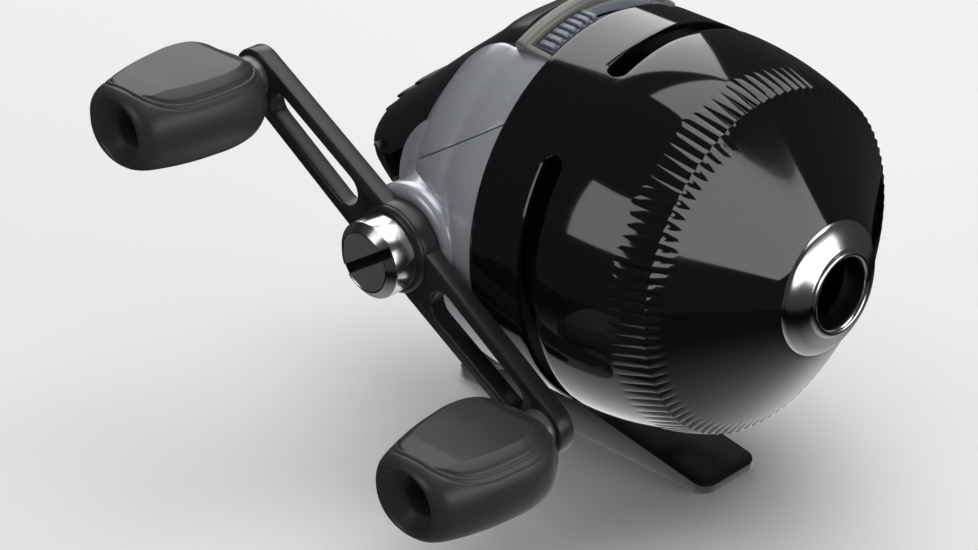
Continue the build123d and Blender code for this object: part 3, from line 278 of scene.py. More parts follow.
def drop_faces(piece, inside):
    """Delete the faces whose centre, in millimetres, satisfies a test."""
    only(piece)
    bpy.ops.object.mode_set(mode="EDIT")
    bpy.ops.mesh.select_mode(type="FACE")
    bpy.ops.mesh.select_all(action="DESELECT")
    bpy.ops.object.mode_set(mode="OBJECT")
    for face in piece.data.polygons:
        face.select = inside(face.center / MM)
    bpy.ops.object.mode_set(mode="EDIT")
    bpy.ops.mesh.delete(type="FACE")
    bpy.ops.object.mode_set(mode="OBJECT")


def slice_at(piece, point, normal, clear=False, fill=False):
    """Cut a mesh along a plane; clear removes the side that the normal points to."""
    only(piece)
    bpy.ops.object.mode_set(mode="EDIT")
    bpy.ops.mesh.select_all(action="SELECT")
    bpy.ops.mesh.bisect(plane_co=[value * MM for value in point], plane_no=normal,
                        clear_outer=clear, use_fill=fill, threshold=1e-6)
    bpy.ops.object.mode_set(mode="OBJECT")


def clock(point):
    """Angle of a point round the spool axis, from the top towards the crank side, in degrees."""
    return degrees(atan2(-point[0], point[2] - AXIS_Z))


# ------------------------------------------------------------------ materials
def surface(name, colour, metallic, rough, grain=900.0, bump=0.02, vary=0.06, streak=None,
            coat=0.0, coat_rough=0.1, specular=0.5, colour_low=0.85, edge_highlight=0.0, edge_highlight_colour=(0.3, 0.3, 0.3)):
    """A finish with fine grain, patches of duller gloss, and, where asked, a painted highlight: lighter
    colour on sharp convex edges.
    """
    material = bpy.data.materials.new(name)
    material.use_nodes = True
    nodes = material.node_tree.nodes
    links = material.node_tree.links
    shader = nodes["Principled BSDF"]
    shader.inputs["Metallic"].default_value = metallic
    shader.inputs["Coat Weight"].default_value = coat
    shader.inputs["Coat Roughness"].default_value = coat_rough
    shader.inputs["Specular IOR Level"].default_value = specular
    place = nodes.new("ShaderNodeTexCoord")
    mapping = nodes.new("ShaderNodeMapping")
    if streak:
        mapping.inputs["Scale"].default_value = streak
    links.new(place.outputs["Object"], mapping.inputs["Vector"])

    fine = nodes.new("ShaderNodeTexNoise")
    fine.inputs["Scale"].default_value = grain
    fine.inputs["Detail"].default_value = 4
    links.new(mapping.outputs["Vector"], fine.inputs["Vector"])
    broad = nodes.new("ShaderNodeTexNoise")
    broad.inputs["Scale"].default_value = 45
    broad.inputs["Detail"].default_value = 3
    links.new(place.outputs["Object"], broad.inputs["Vector"])

    gloss = nodes.new("ShaderNodeMapRange")
    gloss.inputs["From Min"].default_value = 0.3
    gloss.inputs["From Max"].default_value = 0.7
    gloss.inputs["To Min"].default_value = max(rough - vary, 0.01)
    gloss.inputs["To Max"].default_value = rough + vary
    links.new(broad.outputs["Fac"], gloss.inputs["Value"])
    links.new(gloss.outputs["Result"], shader.inputs["Roughness"])

    tone = nodes.new("ShaderNodeMix")
    tone.data_type = "RGBA"
    low = [channel * colour_low for channel in colour]
    tone.inputs[6].default_value = (*low, 1)
    tone.inputs[7].default_value = (*colour, 1)
    links.new(fine.outputs["Fac"], tone.inputs["Factor"])
    shade = tone.outputs[2]
    # painted highlight: convex edges, found by pointiness, are mixed towards a lighter colour that stands in
    # for light caught on them
    if edge_highlight:
        geometry = nodes.new("ShaderNodeNewGeometry")
        edge = nodes.new("ShaderNodeMapRange")
        edge.inputs["From Min"].default_value = 0.53
        edge.inputs["From Max"].default_value = 0.62
        edge.inputs["To Max"].default_value = edge_highlight
        links.new(geometry.outputs["Pointiness"], edge.inputs["Value"])
        edge_highlight_mix = nodes.new("ShaderNodeMix")
        edge_highlight_mix.data_type = "RGBA"
        edge_highlight_mix.inputs[7].default_value = (*edge_highlight_colour, 1)
        links.new(edge.outputs["Result"], edge_highlight_mix.inputs["Factor"])
        links.new(shade, edge_highlight_mix.inputs[6])
        shade = edge_highlight_mix.outputs[2]
    links.new(shade, shader.inputs["Base Color"])

    relief = nodes.new("ShaderNodeBump")
    relief.inputs["Strength"].default_value = bump
    relief.inputs["Distance"].default_value = 0.0002
    links.new(fine.outputs["Fac"], relief.inputs["Height"])
    links.new(relief.outputs["Normal"], shader.inputs["Normal"])
    return material


MAT = {
    "cover": surface("cover_gloss_black", (0.006, 0.006, 0.0065), 0.0, 0.07, bump=0.01, vary=0.02,
                     coat=0.6, coat_rough=0.03, specular=0.6),
    "silver": surface("body_satin_silver", (0.60, 0.62, 0.67), 0.5, 0.27, grain=1600, bump=0.05, vary=0.04,
                      coat=0.35, coat_rough=0.12),
    "chrome": surface("polished_chrome", (0.86, 0.85, 0.84), 1.0, 0.2, grain=500, bump=0.02, vary=0.04),
    "nut_face": surface("nut_face_dark", (0.16, 0.16, 0.165), 0.35, 0.45, grain=1500, bump=0.06),
    # painted highlight: the arm's convex edges get a lighter grey mixed into the base colour
    "arm": surface("arm_satin_black", (0.02, 0.02, 0.021), 0.0, 0.33, grain=1500, bump=0.08, vary=0.05,
                   coat=0.15, coat_rough=0.3, edge_highlight=0.35, edge_highlight_colour=(0.12, 0.12, 0.12)),
    # painted highlight: the foot's convex edges get a lighter grey mixed into the base colour
    "foot": surface("foot_semi_gloss_black", (0.014, 0.014, 0.015), 0.0, 0.26, grain=1300, bump=0.05,
                    coat=0.3, coat_rough=0.15, edge_highlight=0.3, edge_highlight_colour=(0.1, 0.1, 0.1)),
    "button": surface("button_charcoal", (0.022, 0.022, 0.025), 0.0, 0.34, grain=2200, bump=0.06, vary=0.05),
    "knob": surface("knob_soft_charcoal", (0.035, 0.035, 0.037), 0.0, 0.38, grain=2600, bump=0.08, vary=0.05,
                    specular=0.55),
    "drag": surface("drag_blue_grey", (0.26, 0.28, 0.33), 0.1, 0.35, grain=2000, bump=0.05),
    "hood": surface("hood_warm_grey", (0.23, 0.225, 0.21), 0.15, 0.32, grain=2000, bump=0.05),
    "steel": surface("ground_steel", (0.55, 0.55, 0.56), 1.0, 0.25, grain=900, bump=0.08, streak=(1, 8, 1)),
    "alloy": surface("cast_alloy", (0.45, 0.46, 0.48), 1.0, 0.45, grain=700, bump=0.15),
    "dark_alloy": surface("spinner_dark_alloy", (0.2, 0.2, 0.205), 0.6, 0.35, grain=900, bump=0.08),
    "brass": surface("machined_brass", (0.72, 0.52, 0.22), 1.0, 0.25, grain=900, bump=0.06),
    "spool": surface("spool_graphite", (0.02, 0.02, 0.022), 0.0, 0.4, grain=900, bump=0.1),
    "felt": surface("oiled_felt", (0.2, 0.18, 0.15), 0.0, 0.9, grain=3000, bump=0.5, colour_low=0.5),
}

CAD_FINISH = {
    "steel": ("button_pin", "deck_screws", "return_spring", "spool_retainer", "pawl_pin", "foot_screws",
              "centre_shaft", "pickup_pins", "ratchet_wheel", "pawl", "crank_shaft", "spinner_nut"),
    "alloy": ("deck_plate", "gear_bridge"),
    "dark_alloy": ("spinner_head", "knob_spindles"),
    "brass": ("crank_bushing", "pinion", "drive_gear"),
    "spool": ("spool", "thrust_cap"),
    "felt": ("drag_washer",),
}
for finish, names in CAD_FINISH.items():
    for node in names:
        mesh = frame["nodes"][node].data
        mesh.materials.clear()
        mesh.materials.append(MAT[finish])


# ------------------------------------------------------------------ front cover
FLUTES = 96
FLUTE_STEPS = 6
COVER_STEPS = FLUTES * FLUTE_STEPS
SLOT_Y = COVER_REAR - 14.1
SLOT_HALF = 2.2
SLOT_SPAN = 86.0
SLOT_ANGLES = (96.8, -23.2, 216.8)
FLUTE_LONG = 6.6
FLUTE_SHORT = 3.3
FLUTE_DEPTH = 0.45
FLUTE_FULL = 0.8
FLUTE_THIN = 0.06
FLUTE_BLEND = 3.5


def cover_radius(y):
    """Outer radius of the cover along the spool axis."""
    if y <= SHOULDER_Y:
        return SHOULDER_RADIUS + CONE_SLOPE * (y - SHOULDER_Y)
    taper_start = COVER_REAR - 17.5
    if y >= taper_start:
        return COVER_RADIUS - 0.4 * (COVER_REAR - y) / 17.5
    share = (taper_start - y) / (taper_start - SHOULDER_Y)
    return COVER_RADIUS - 0.4 - 4.4 * (0.25 * share + 0.75 * share ** 2)


def cone_place(radius):
    """Place along the spool axis where the cone has a radius."""
    return SHOULDER_Y + (radius - SHOULDER_RADIUS) / CONE_SLOPE


def floor_of(value):
    """The whole number just below a value."""
    return int(value // 1)


def flute_reach(y):
    """How far a flute has grown at a place: 1 at the shoulder, 0 at its tips."""
    if y >= SHOULDER_Y:
        return 1 - (y - SHOULDER_Y) / FLUTE_LONG
    along = (SHOULDER_Y - y) * sqrt(1 + CONE_SLOPE ** 2)
    return 1 - along / FLUTE_SHORT


def column_phase(step, y):
    """Where a column of points sits between a flute's centre line (0) and its edge (1)."""
    even = step / (FLUTE_STEPS / 2)
    grown = min(flute_reach(y), FLUTE_FULL)
    gathered = (0.0, max(grown, FLUTE_THIN) * 0.5, max(grown, FLUTE_THIN), 1.0)[step]
    if y >= SHOULDER_Y:
        beyond = (y - SHOULDER_Y - FLUTE_LONG) / FLUTE_BLEND
    else:
        beyond = ((SHOULDER_Y - y) * sqrt(1 + CONE_SLOPE ** 2) - FLUTE_SHORT) / FLUTE_BLEND
    share = min(max(beyond, 0.0), 1.0)
    return gathered * (1 - share) + even * share


def make_front_cover():
    places = [COVER_REAR, COVER_REAR - 0.35, COVER_REAR - 1.0, COVER_REAR - 4.0, COVER_REAR - 8.0,
              SLOT_Y + SLOT_HALF + 1.0]
    places += [SLOT_Y + SLOT_HALF * cos(pi * k / 12) for k in range(13)]
    places += [SLOT_Y - SLOT_HALF - 1.0 - 2.0 * k for k in range(8)]
    places = [y for y in places if y > SHOULDER_Y + FLUTE_LONG + 0.3]
    places += [SHOULDER_Y + FLUTE_LONG * (1 - k / 14) for k in range(14)]
    places += [SHOULDER_Y + 0.18, SHOULDER_Y]
    cone_length = FLUTE_SHORT / sqrt(1 + CONE_SLOPE ** 2)
    places += [SHOULDER_Y - cone_length * k / 7 for k in range(1, 8)]
    places += [SHOULDER_Y - cone_length - FLUTE_BLEND * k / 8 for k in range(1, 5)]
    radii = [25.0, 21.0, 17.0, 14.0, 12.05]
    places += [cone_place(radius) for radius in radii]
    stations = [(y, cover_radius(y)) for y in places]
    stations[0] = (COVER_REAR, COVER_RADIUS - 0.12)
    cover = turned("front_cover_shell", stations, (0, 0, AXIS_Z), "Y", COVER_STEPS)

    column = 360.0 / COVER_STEPS
    ends = []
    for angle in SLOT_ANGLES:
        for side in (-1, 1):
            ends.append((round((angle + side * SLOT_SPAN / 2) / column) * column, side))
    reach = 10.0
    for vertex in cover.data.vertices:
        x, y, z = vertex.co / MM
        angle = degrees(atan2(-x, z - AXIS_Z))
        radius = sqrt(x * x + (z - AXIS_Z) ** 2)
        offset = abs(y - SLOT_Y)
        if offset < SLOT_HALF:
            bulge = degrees(sqrt(SLOT_HALF ** 2 - offset ** 2) / radius)
            for end, side in ends:
                gap = (angle - end + 180) % 360 - 180
                if abs(gap) < reach:
                    angle += side * bulge * (1 - abs(gap) / reach) ** 2
                    break
        if y < SHOULDER_Y + FLUTE_LONG + FLUTE_BLEND:
            index = round(angle / column)
            flute = floor_of((index + FLUTE_STEPS / 2) / FLUTE_STEPS)
            step = index - flute * FLUTE_STEPS
            phase = column_phase(abs(step), y)
            angle = (flute + phase * (0.5 if step >= 0 else -0.5)) * 360 / FLUTES
            radius -= FLUTE_DEPTH * max(0.0, min(flute_reach(y), FLUTE_FULL) - phase)
        vertex.co = Vector((-radius * sin(radians(angle)), y, AXIS_Z + radius * cos(radians(angle)))) * MM

    def in_slot(point):
        offset = abs(point[1] - SLOT_Y)
        if offset >= SLOT_HALF:
            return False
        bulge = degrees(sqrt(SLOT_HALF ** 2 - offset ** 2) / COVER_RADIUS)
        for k in range(0, len(ends), 2):
            first = ends[k][0] - bulge
            width = ends[k + 1][0] + bulge - first
            if (clock(point) - first) % 360 < width:
                return True
        return False

    drop_faces(cover, in_slot)
    tidy_mesh(cover, 0.001)
    modify(cover, "SOLIDIFY", thickness=1.0 * MM, offset=-1, use_even_offset=True)
    tidy_mesh(cover, 0.001)
    soften(cover, 0.16, 2, 50)
    return finish_piece(cover, "housing", "cover_black", MAT["cover"], "front_cover", angle=28)


def make_nose_ring():
    lip = NOSE_LOW[1]
    seat = cone_place(12.0)
    stations = [
        (seat + 2.3, 6.75), (lip + 1.5, 6.72), (lip + 0.75, 6.76), (lip + 0.3, 6.95), (lip + 0.08, 7.2),
        (lip, 7.5), (lip + 0.12, 7.85), (lip + 0.4, 8.15), (lip + 0.62, 8.3), (lip + 0.8, 8.55),
        (cone_place(10.5) - 0.45, 10.5), (cone_place(12.3) - 0.45, 12.25), (cone_place(12.6) - 0.3, 12.6),
        (cone_place(12.7) - 0.05, 12.7), (cone_place(12.55) + 0.1, 12.5), (seat + 0.3, 11.95),
        (seat + 2.3, 11.9), (seat + 2.3, 6.75),
    ]
    ring = turned("nose_ring_bright", stations, (0, 0, AXIS_Z), "Y", 192, closed=True)
    return finish_piece(ring, "housing", "bright_chrome", MAT["chrome"], "nose_ring", angle=50)


# ------------------------------------------------------------------ rear housing
DOME = ((5.0, 0.0), (12.0, 1.7), (18.0, 5.6), (24.0, 11.6), (30.0, 17.8), (35.0, 23.4), (37.5, 27.4))
SEAM_POINT = (0, 4.0, AXIS_Z + 20.5)
SEAM_NORMAL = Vector((0, 0.62, 1)).normalized()
SEAM_GAP = 0.16
OPENING = 15.6
HOOD_REAR = 4.4
HOOD_FRONT = 1.2


def dome_drop(y):
    """How far the dome has fallen below its full radius, smoothly through its stations."""
    points = ((BODY_FRONT - 5, 0.0),) + DOME
    for k in range(1, len(points)):
        if y <= points[k][0] or k == len(points) - 1:
            before = points[max(k - 2, 0)]
            a, b = points[k - 1], points[k]
            after = points[min(k + 1, len(points) - 1)]
            t = (y - a[0]) / (b[0] - a[0])
            slope_a = (b[1] - before[1]) / (b[0] - before[0])
            slope_b = (after[1] - a[1]) / (after[0] - a[0])
            width = b[0] - a[0]
            return ((2 * t ** 3 - 3 * t ** 2 + 1) * a[1] + (t ** 3 - 2 * t ** 2 + t) * width * slope_a
                    + (-2 * t ** 3 + 3 * t ** 2) * b[1] + (t ** 3 - t ** 2) * width * slope_b)
    return points[-1][1]


def dome_sheet(name):
    """The housing's outer skin as one open sheet of revolution."""
    places = [BODY_FRONT + step for step in (0, 0.3, 1.0, 1.7)]
    places += [0.0, HOOD_FRONT, 2.8, HOOD_REAR]
    places += [HOOD_REAR + 0.8 * k for k in range(1, 41)]
    places.append(37.4)
    stations = []
    for y in places:
        shelf = 0.55 * exp(-((y - 5.6) / 1.9) ** 2)
        lip = 0.35 * max(0.0, 1 - (y - BODY_FRONT) / 1.2) ** 2
        stations.append((y, BODY_RADIUS - dome_drop(y) - shelf - lip))
    stations += [(37.5, 6.0), (37.5, 1.0)]
    return turned(name, stations, (0, 0, AXIS_Z), "Y", 288)


def make_lower_housing():
    shell = dome_sheet("lower_housing")
    edge = Vector(SEAM_POINT) - SEAM_NORMAL * SEAM_GAP
    slice_at(shell, edge, SEAM_NORMAL, clear=True)
    for side in (-1, 1):
        slice_at(shell, (side * OPENING, 0, 0), (1, 0, 0))
    floor = AXIS_Z - 12.6
    slice_at(shell, (0, 0, floor), (0, 0, 1))
    drop_faces(shell, lambda p: abs(p[0]) < OPENING and p[2] > floor and p[1] > 10)
    only(shell)
    tidy_mesh(shell, 0.002)
    modify(shell, "SOLIDIFY", thickness=2.0 * MM, offset=-1, use_even_offset=True)
    soften(shell, 0.22, 2, 50)
    return finish_piece(shell, "housing", "body_silver", MAT["silver"], "main_body", angle=40)


def make_boss():
    face = ARM_INNER_X + 0.8
    stations = [
        (face + 9, 5.02), (face + 0.9, 5.02), (face + 0.9, 7.4), (face + 0.25, 8.3), (face, 8.8), (face, 9.7),
        (face + 0.25, 10.2), (face + 0.8, 10.45), (face + 2.0, 10.3), (face + 3.5, 10.1), (face + 5.5, 10.2),
        (face + 7.5, 10.7), (face + 9.5, 11.6), (face + 11.5, 13.0), (face + 13.3, 14.8), (face + 14.6, 16.8),
        (face + 15.4, 18.8),
    ]
    boss = turned("crank_boss", stations, (0, CRANK_Y, AXIS_Z), "X", 144)
    slice_at(boss, (0, BODY_FRONT + 0.2, 0), (0, -1, 0), clear=True)
    modify(boss, "SOLIDIFY", thickness=0.8 * MM, offset=-1)
    tidy_mesh(boss, 0.002)
    return finish_piece(boss, "housing", "body_silver", MAT["silver"], angle=45)


def make_stem():
    top = AXIS_Z - BODY_RADIUS + 2.5
    corner = 3.0
    half = 6.0
    y0, y1 = -2.5, 17.0
    side = half - corner
    outline = []
    for start, x, y in ((0, side, y1 - corner), (90, -side, y1 - corner),
                        (180, -side, y0 + corner), (270, side, y0 + corner)):
        outline += arc((x, y), corner, start, start + 90, 8)
    height = top - FOOT_HIGH[2]
    place = Matrix.Translation((0, 0, (FOOT_HIGH[2] + height / 2) * MM))
    stem = plate("foot_stem", [outline], height, 0.4, place)
    return finish_piece(stem, "housing", "body_silver", MAT["silver"], angle=40)


def make_rear_cover():
    shell = dome_sheet("upper_housing")
    edge = Vector(SEAM_POINT) + SEAM_NORMAL * SEAM_GAP
    slice_at(shell, edge, -SEAM_NORMAL, clear=True)
    for side in (-1, 1):
        slice_at(shell, (side * OPENING, 0, 0), (1, 0, 0))
        edge = radians(side * 24.3)
        slice_at(shell, (0, 0, AXIS_Z), (cos(edge), 0, sin(edge)))
        far = radians(side * 36.0)
        slice_at(shell, (0, 0, AXIS_Z), (cos(far), 0, sin(far)))

    def gone(point):
        if abs(point[0]) < OPENING and point[1] > HOOD_REAR:
            return True
        if abs(clock(point)) < 24.3 and point[1] < HOOD_FRONT:
            return True
        return abs(clock(point)) < 36.0 and point[1] < BODY_FRONT + 1.7

    drop_faces(shell, gone)
    tidy_mesh(shell, 0.002)
    modify(shell, "SOLIDIFY", thickness=2.0 * MM, offset=-1, use_even_offset=True)
    soften(shell, 0.22, 2, 50)
    return finish_piece(shell, "housing", "body_silver", MAT["silver"], "rear_cover", angle=40)


def swept_bar(name, profile, first, last, steps):
    """A closed (y, radius) profile swept round the spool axis between two clock angles."""
    start_clean()
    mesh = bpy.data.meshes.new(name)
    rows = []
    for k in range(steps + 1):
        angle = radians(first + (last - first) * k / steps)
        for y, radius in profile:
            rows.append((-radius * sin(angle) * MM, y * MM, (AXIS_Z + radius * cos(angle)) * MM))
    count = len(profile)
    faces = []
    for k in range(steps):
        for i in range(count):
            j = (i + 1) % count
            faces.append((k * count + i, k * count + j, (k + 1) * count + j, (k + 1) * count + i))
    faces.append(tuple(range(count)))
    faces.append(tuple(range(steps * count, (steps + 1) * count)))
    mesh.from_pydata(rows, [], faces)
    piece = bpy.data.objects.new(name, mesh)
    bpy.context.collection.objects.link(piece)
    tidy_mesh(piece, 0.001)
    return piece


def make_drag_hood():
    lip = [(HOOD_FRONT, BODY_RADIUS - 0.6), (HOOD_FRONT, 38.8), (1.45, 39.4), (2.0, 39.85), (2.8, 40.0),
           (3.5, 39.75), (4.1, 39.2), (4.4, 38.4), (4.4, BODY_RADIUS - 0.6)]
    arch = swept_bar("drag_hood_arch", lip, -26.3, 26.3, 60)
    parts = [arch]
    for side in (-1, 1):
        horn = [(BODY_FRONT + 1.9, BODY_RADIUS - 0.6), (BODY_FRONT + 1.9, 37.9), (BODY_FRONT + 2.3, 38.3),
                (HOOD_FRONT - 0.5, 39.1), (HOOD_FRONT + 0.4, 39.4), (HOOD_FRONT + 0.4, BODY_RADIUS - 0.6)]
        parts.append(swept_bar("horn", horn, side * 24.6, side * 26.3, 4))
    hood = join(parts)
    hood.name = "drag_hood_lip"
    soften(hood, 0.3, 2, 40)
    return finish_piece(hood, "housing", "hood_grey", MAT["hood"], "drag_hood", angle=45)


def make_drag_wheel():
    front, rear = -2.9, 0.9
    inner = BODY_RADIUS - 2.0
    ring = swept_bar("drag_ring", [(front, inner - 4.2), (front, inner - 0.15), (rear, inner - 0.15),
                                   (rear, inner - 4.2)], 0, 360, 180)
    tidy_mesh(ring, 0.01)
    parts = [ring]
    parts.append(swept_bar("pad", [(front, inner - 1), (front, 37.3), (front + 0.2, 37.5), (rear - 0.2, 37.5),
                                   (rear, 37.3), (rear, inner - 1)], 4.0, 23.0, 24))
    ribs = 7
    pitch = 19.0 / ribs
    for k in range(ribs):
        middle = 4.0 + pitch * (k + 0.5)
        parts.append(swept_bar("rib", [(front + 0.1, 37.2), (front + 0.1, 38.1), (front + 0.5, 38.4),
                                       (rear - 0.5, 38.4), (rear - 0.1, 38.1), (rear - 0.1, 37.2)],
                               middle - pitch * 0.3, middle + pitch * 0.3, 4))
    for k in range(40):
        middle = -46 + 2.3 * k
        if 2.0 < middle < 25.0:
            continue
        tooth = [(front, inner - 0.6), (front, inner - 0.1),
                 (front + 1.5, inner - 0.1), (front + 1.5, inner - 0.6)]
        parts.append(swept_bar("tooth", tooth, middle, middle + 1.1, 1))
    wheel = join(parts)
    wheel.name = "drag_wheel_ribbed"
    soften(wheel, 0.12, 1, 40)
    return finish_piece(wheel, "drag_wheel", "drag_grey", MAT["drag"], "drag_wheel", angle=40)


# ------------------------------------------------------------------ thumb button
TOP_Z = AXIS_Z + BODY_RADIUS
SKIN = (
    (5.3, 0.9), (10.8, -1.3), (16.4, -5.7), (22.0, -9.9), (27.4, -13.9), (34.0, -19.1), (40.0, -23.9),
    (45.5, -28.3), (49.3, -32.6), (51.2, -37.0), (50.4, -40.7), (47.8, -43.8), (44.8, -46.2),
)


def smooth_path(points, steps):
    """Points along a Catmull-Rom curve through the given ones."""
    path = []
    last = len(points) - 1
    for k in range(last):
        p0, p1 = points[max(k - 1, 0)], points[k]
        p2, p3 = points[k + 1], points[min(k + 2, last)]
        for s in range(steps):
            t = s / steps
            path.append(tuple(
                0.5 * (2 * b + (c - a) * t + (2 * a - 5 * b + 4 * c - d) * t ** 2
                       + (3 * b - a - 3 * c + d) * t ** 3)
                for a, b, c, d in zip(p0, p1, p2, p3)))
    path.append(tuple(points[-1]))
    return path


def grid_piece(name, rows, closed_rows=False, closed_columns=False):
    """A mesh from rows of points in millimetres, started from a grid."""
    count_u, count_v = len(rows), len(rows[0])
    mesh = bpy.data.meshes.new(name)
    points = [tuple(value * MM for value in point) for row in rows for point in row]
    faces = []
    for u in range(count_u if closed_rows else count_u - 1):
        for v in range(count_v if closed_columns else count_v - 1):
            a, b = u, (u + 1) % count_u
            c, d = v, (v + 1) % count_v
            faces.append((a * count_v + c, a * count_v + d, b * count_v + d, b * count_v + c))
    mesh.from_pydata(points, [], faces)
    piece = bpy.data.objects.new(name, mesh)
    bpy.context.collection.objects.link(piece)
    return piece


def make_thumb_button():
    path = smooth_path(SKIN, 6)
    rows = []
    last = len(path) - 1
    for k, (y, drop) in enumerate(path):
        share = k / last
        before, after = path[max(k - 1, 0)], path[min(k + 1, last)]
        run = Vector((after[0] - before[0], after[1] - before[1])).normalized()
        inward = Vector((run[1], -run[0]))
        half = 15.0 - 1.2 * max(0.0, share - 0.55) / 0.45
        depth = 6.5 + 3.5 * sin(pi * min(share * 1.15, 1)) - 3.5 * max(0.0, share - 0.8) / 0.2
        if share < 0.12:
            depth = 4.0 + depth * 0.4
        row = []
        count = 40
        for s in range(count + 1):
            turn = -pi / 2 + pi * s / count
            across = sin(turn)
            side = (abs(across) ** 0.62) * (1 if across >= 0 else -1)
            fall = 1 - abs(cos(turn)) ** 0.5
            if fall > 0.999:
                fall = 1.0
            point_y = y + inward[0] * depth * fall
            point_z = TOP_Z + drop + inward[1] * depth * fall
            row.append((side * half, point_y, point_z))
        rows.append(row)
    shell = grid_piece("thumb_button_shell", rows)
    tidy_mesh(shell, 0.001)
    modify(shell, "SOLIDIFY", thickness=2.0 * MM, offset=-1)
    soften(shell, 0.3, 2, 50)
    parts = [shell]
    for y, drop, lean in ((40.3, -24.1, 38.5), (45.6, -28.4, 45), (49.2, -32.4, 60)):
        start_clean()
        bpy.ops.mesh.primitive_uv_sphere_add(segments=24, ring_count=16, radius=MM)
        rib = bpy.context.object
        rib.scale = (9.5, 1.6, 0.95)
        rib.rotation_euler = (-radians(lean), 0, 0)
        rib.location = (0, y * MM, (TOP_Z + drop - 0.15) * MM)
        settle(rib)
        parts.append(rib)
    start_clean()
    bpy.ops.mesh.primitive_cube_add(size=1)
    pad = bpy.context.object
    pad.scale = (10 * MM, 4.5 * MM, 9 * MM)
    pad.location = (0, 46.3 * MM, (AXIS_Z + 1.5) * MM)
    settle(pad)
    parts.append(pad)
    button = join(parts)
    return finish_piece(button, "thumb_button", "button_black", MAT["button"], "thumb_button", angle=40)


# ------------------------------------------------------------------ crank
def arm_frame(x):
    """Matrix that lays a flat outline on the crank arm's plane at x, u along the arm."""
    along = Vector((0, cos(ARM_ANGLE), sin(ARM_ANGLE)))
    across = Vector((0, -sin(ARM_ANGLE), cos(ARM_ANGLE)))
    matrix = Matrix((
        (1, along[0], across[0], x * MM), (0, along[1], across[1], CRANK_Y * MM),
        (0, along[2], across[2], AXIS_Z * MM), (0, 0, 0, 1),
    ))
    turn = Matrix(((0, 0, 1, 0), (1, 0, 0, 0), (0, 1, 0, 0), (0, 0, 0, 1)))
    return matrix @ turn


def make_arm():
    tip, hub, collar = 5.3, 6.3, 8.8
    swing = degrees(asin((hub - 0.3) / collar))
    outline = arc((ARM_REACH, 0), tip, -88, 88, 24)
    outline += arc((0, 0), collar, swing, 180 - swing, 24)
    outline += arc((-ARM_REACH, 0), tip, 92, 268, 24)
    outline += arc((0, 0), collar, 180 + swing, 360 - swing, 24)
    slots = []
    for side in (-1, 1):
        inner, outer, half_in, half_out = 11.6, 35.4, 3.3, 2.8
        if side > 0:
            slot = arc((outer, 0), half_out, -90, 90, 10) + arc((inner + half_in, 0), half_in, 90, 270, 10)
        else:
            slot = arc((-outer, 0), half_out, 90, 270, 10) + arc((-inner - half_in, 0), half_in, -90, 90, 10)
        slots.append(slot)
    middle = (ARM_INNER_X + ARM_OUTER_X) / 2
    arm = plate("crank_arm_rails", [outline] + slots, ARM_THICKNESS, 0.45, arm_frame(middle), 2)
    outer = ARM_OUTER_X
    collar_ring = filled_turned("collar", [
        (outer + 0.5, 8.6), (outer, 8.6), (outer - 0.3, 8.55),
        (outer - 0.75, 8.2), (outer - 0.95, 7.9), (outer - 1.0, 7.6),
    ], (0, CRANK_Y, AXIS_Z), "X", 96)
    arm = join([arm, collar_ring])
    arm.name = "crank_arm_rails"
    return finish_piece(arm, "crank", "arm_black", MAT["arm"], "crank_arm", angle=40)


def make_nut():
    face = NUT_LOW[0]
    base = NUT_HIGH[0]
    stations = [(base, 7.2), (base - 0.05, 7.45), (base - 0.35, 7.53),
                (face + 1.55, 7.53), (face + 1.3, 7.45), (face + 0.15, 6.1),
                (face, 5.92), (face, 5.7), (face + 0.12, 5.55)]
    nut = filled_turned("crank_nut_bright", stations, (0, CRANK_Y, AXIS_Z), "X", 128)
    slot = block("slot", (face - 1, -9, -1.0), (face + 1.3, 9, 1.0))
    slot.rotation_euler = (-ARM_ANGLE, 0, 0)
    slot.location = (0, CRANK_Y * MM, AXIS_Z * MM)
    settle(slot)
    cut(nut, slot)
    piece = finish_piece(nut, "crank", "bright_chrome", MAT["chrome"], "crank_nut", angle=28)
    piece.data.materials.append(MAT["nut_face"])
    for polygon in piece.data.polygons:
        flat = abs(polygon.normal[0]) > 0.95 and polygon.center[0] / MM < face + 0.5
        centre = polygon.center / MM
        if flat and sqrt((centre[1] - CRANK_Y) ** 2 + (centre[2] - AXIS_Z) ** 2) < 5.6:
            polygon.material_index = 1
    return piece


KNOB_SECTIONS = ((0.0, 7.6, 6.4), (0.02, 8.4, 7.1), (0.06, 9.3, 7.7), (0.12, 10.0, 8.2), (0.25, 11.2, 8.8),
                 (0.4, 12.2, 9.25), (0.55, 12.8, 9.45), (0.67, 13.0, 9.5), (0.8, 12.4, 9.0), (0.9, 10.6, 7.7),
                 (0.95, 8.9, 6.5), (0.98, 7.2, 5.4), (1.0, 5.8, 4.6))


def knob_size(share):
    """Half width and half thickness of a knob at a share of its length from the outer end."""
    points = KNOB_SECTIONS
    for k in range(1, len(points)):
        if share <= points[k][0]:
            a, b = points[k - 1], points[k]
            before, after = points[max(k - 2, 0)], points[min(k + 1, len(points) - 1)]
            t = (share - a[0]) / (b[0] - a[0])
            values = []
            for axis in (1, 2):
                width = b[0] - a[0]
                slope_a = (b[axis] - before[axis]) / (b[0] - before[0])
                slope_b = (after[axis] - a[axis]) / (after[0] - a[0])
                values.append((2 * t ** 3 - 3 * t ** 2 + 1) * a[axis]
                              + (t ** 3 - 2 * t ** 2 + t) * width * slope_a
                              + (-2 * t ** 3 + 3 * t ** 2) * b[axis]
                              + (t ** 3 - t ** 2) * width * slope_b)
            return values
    return list(points[-1][1:])


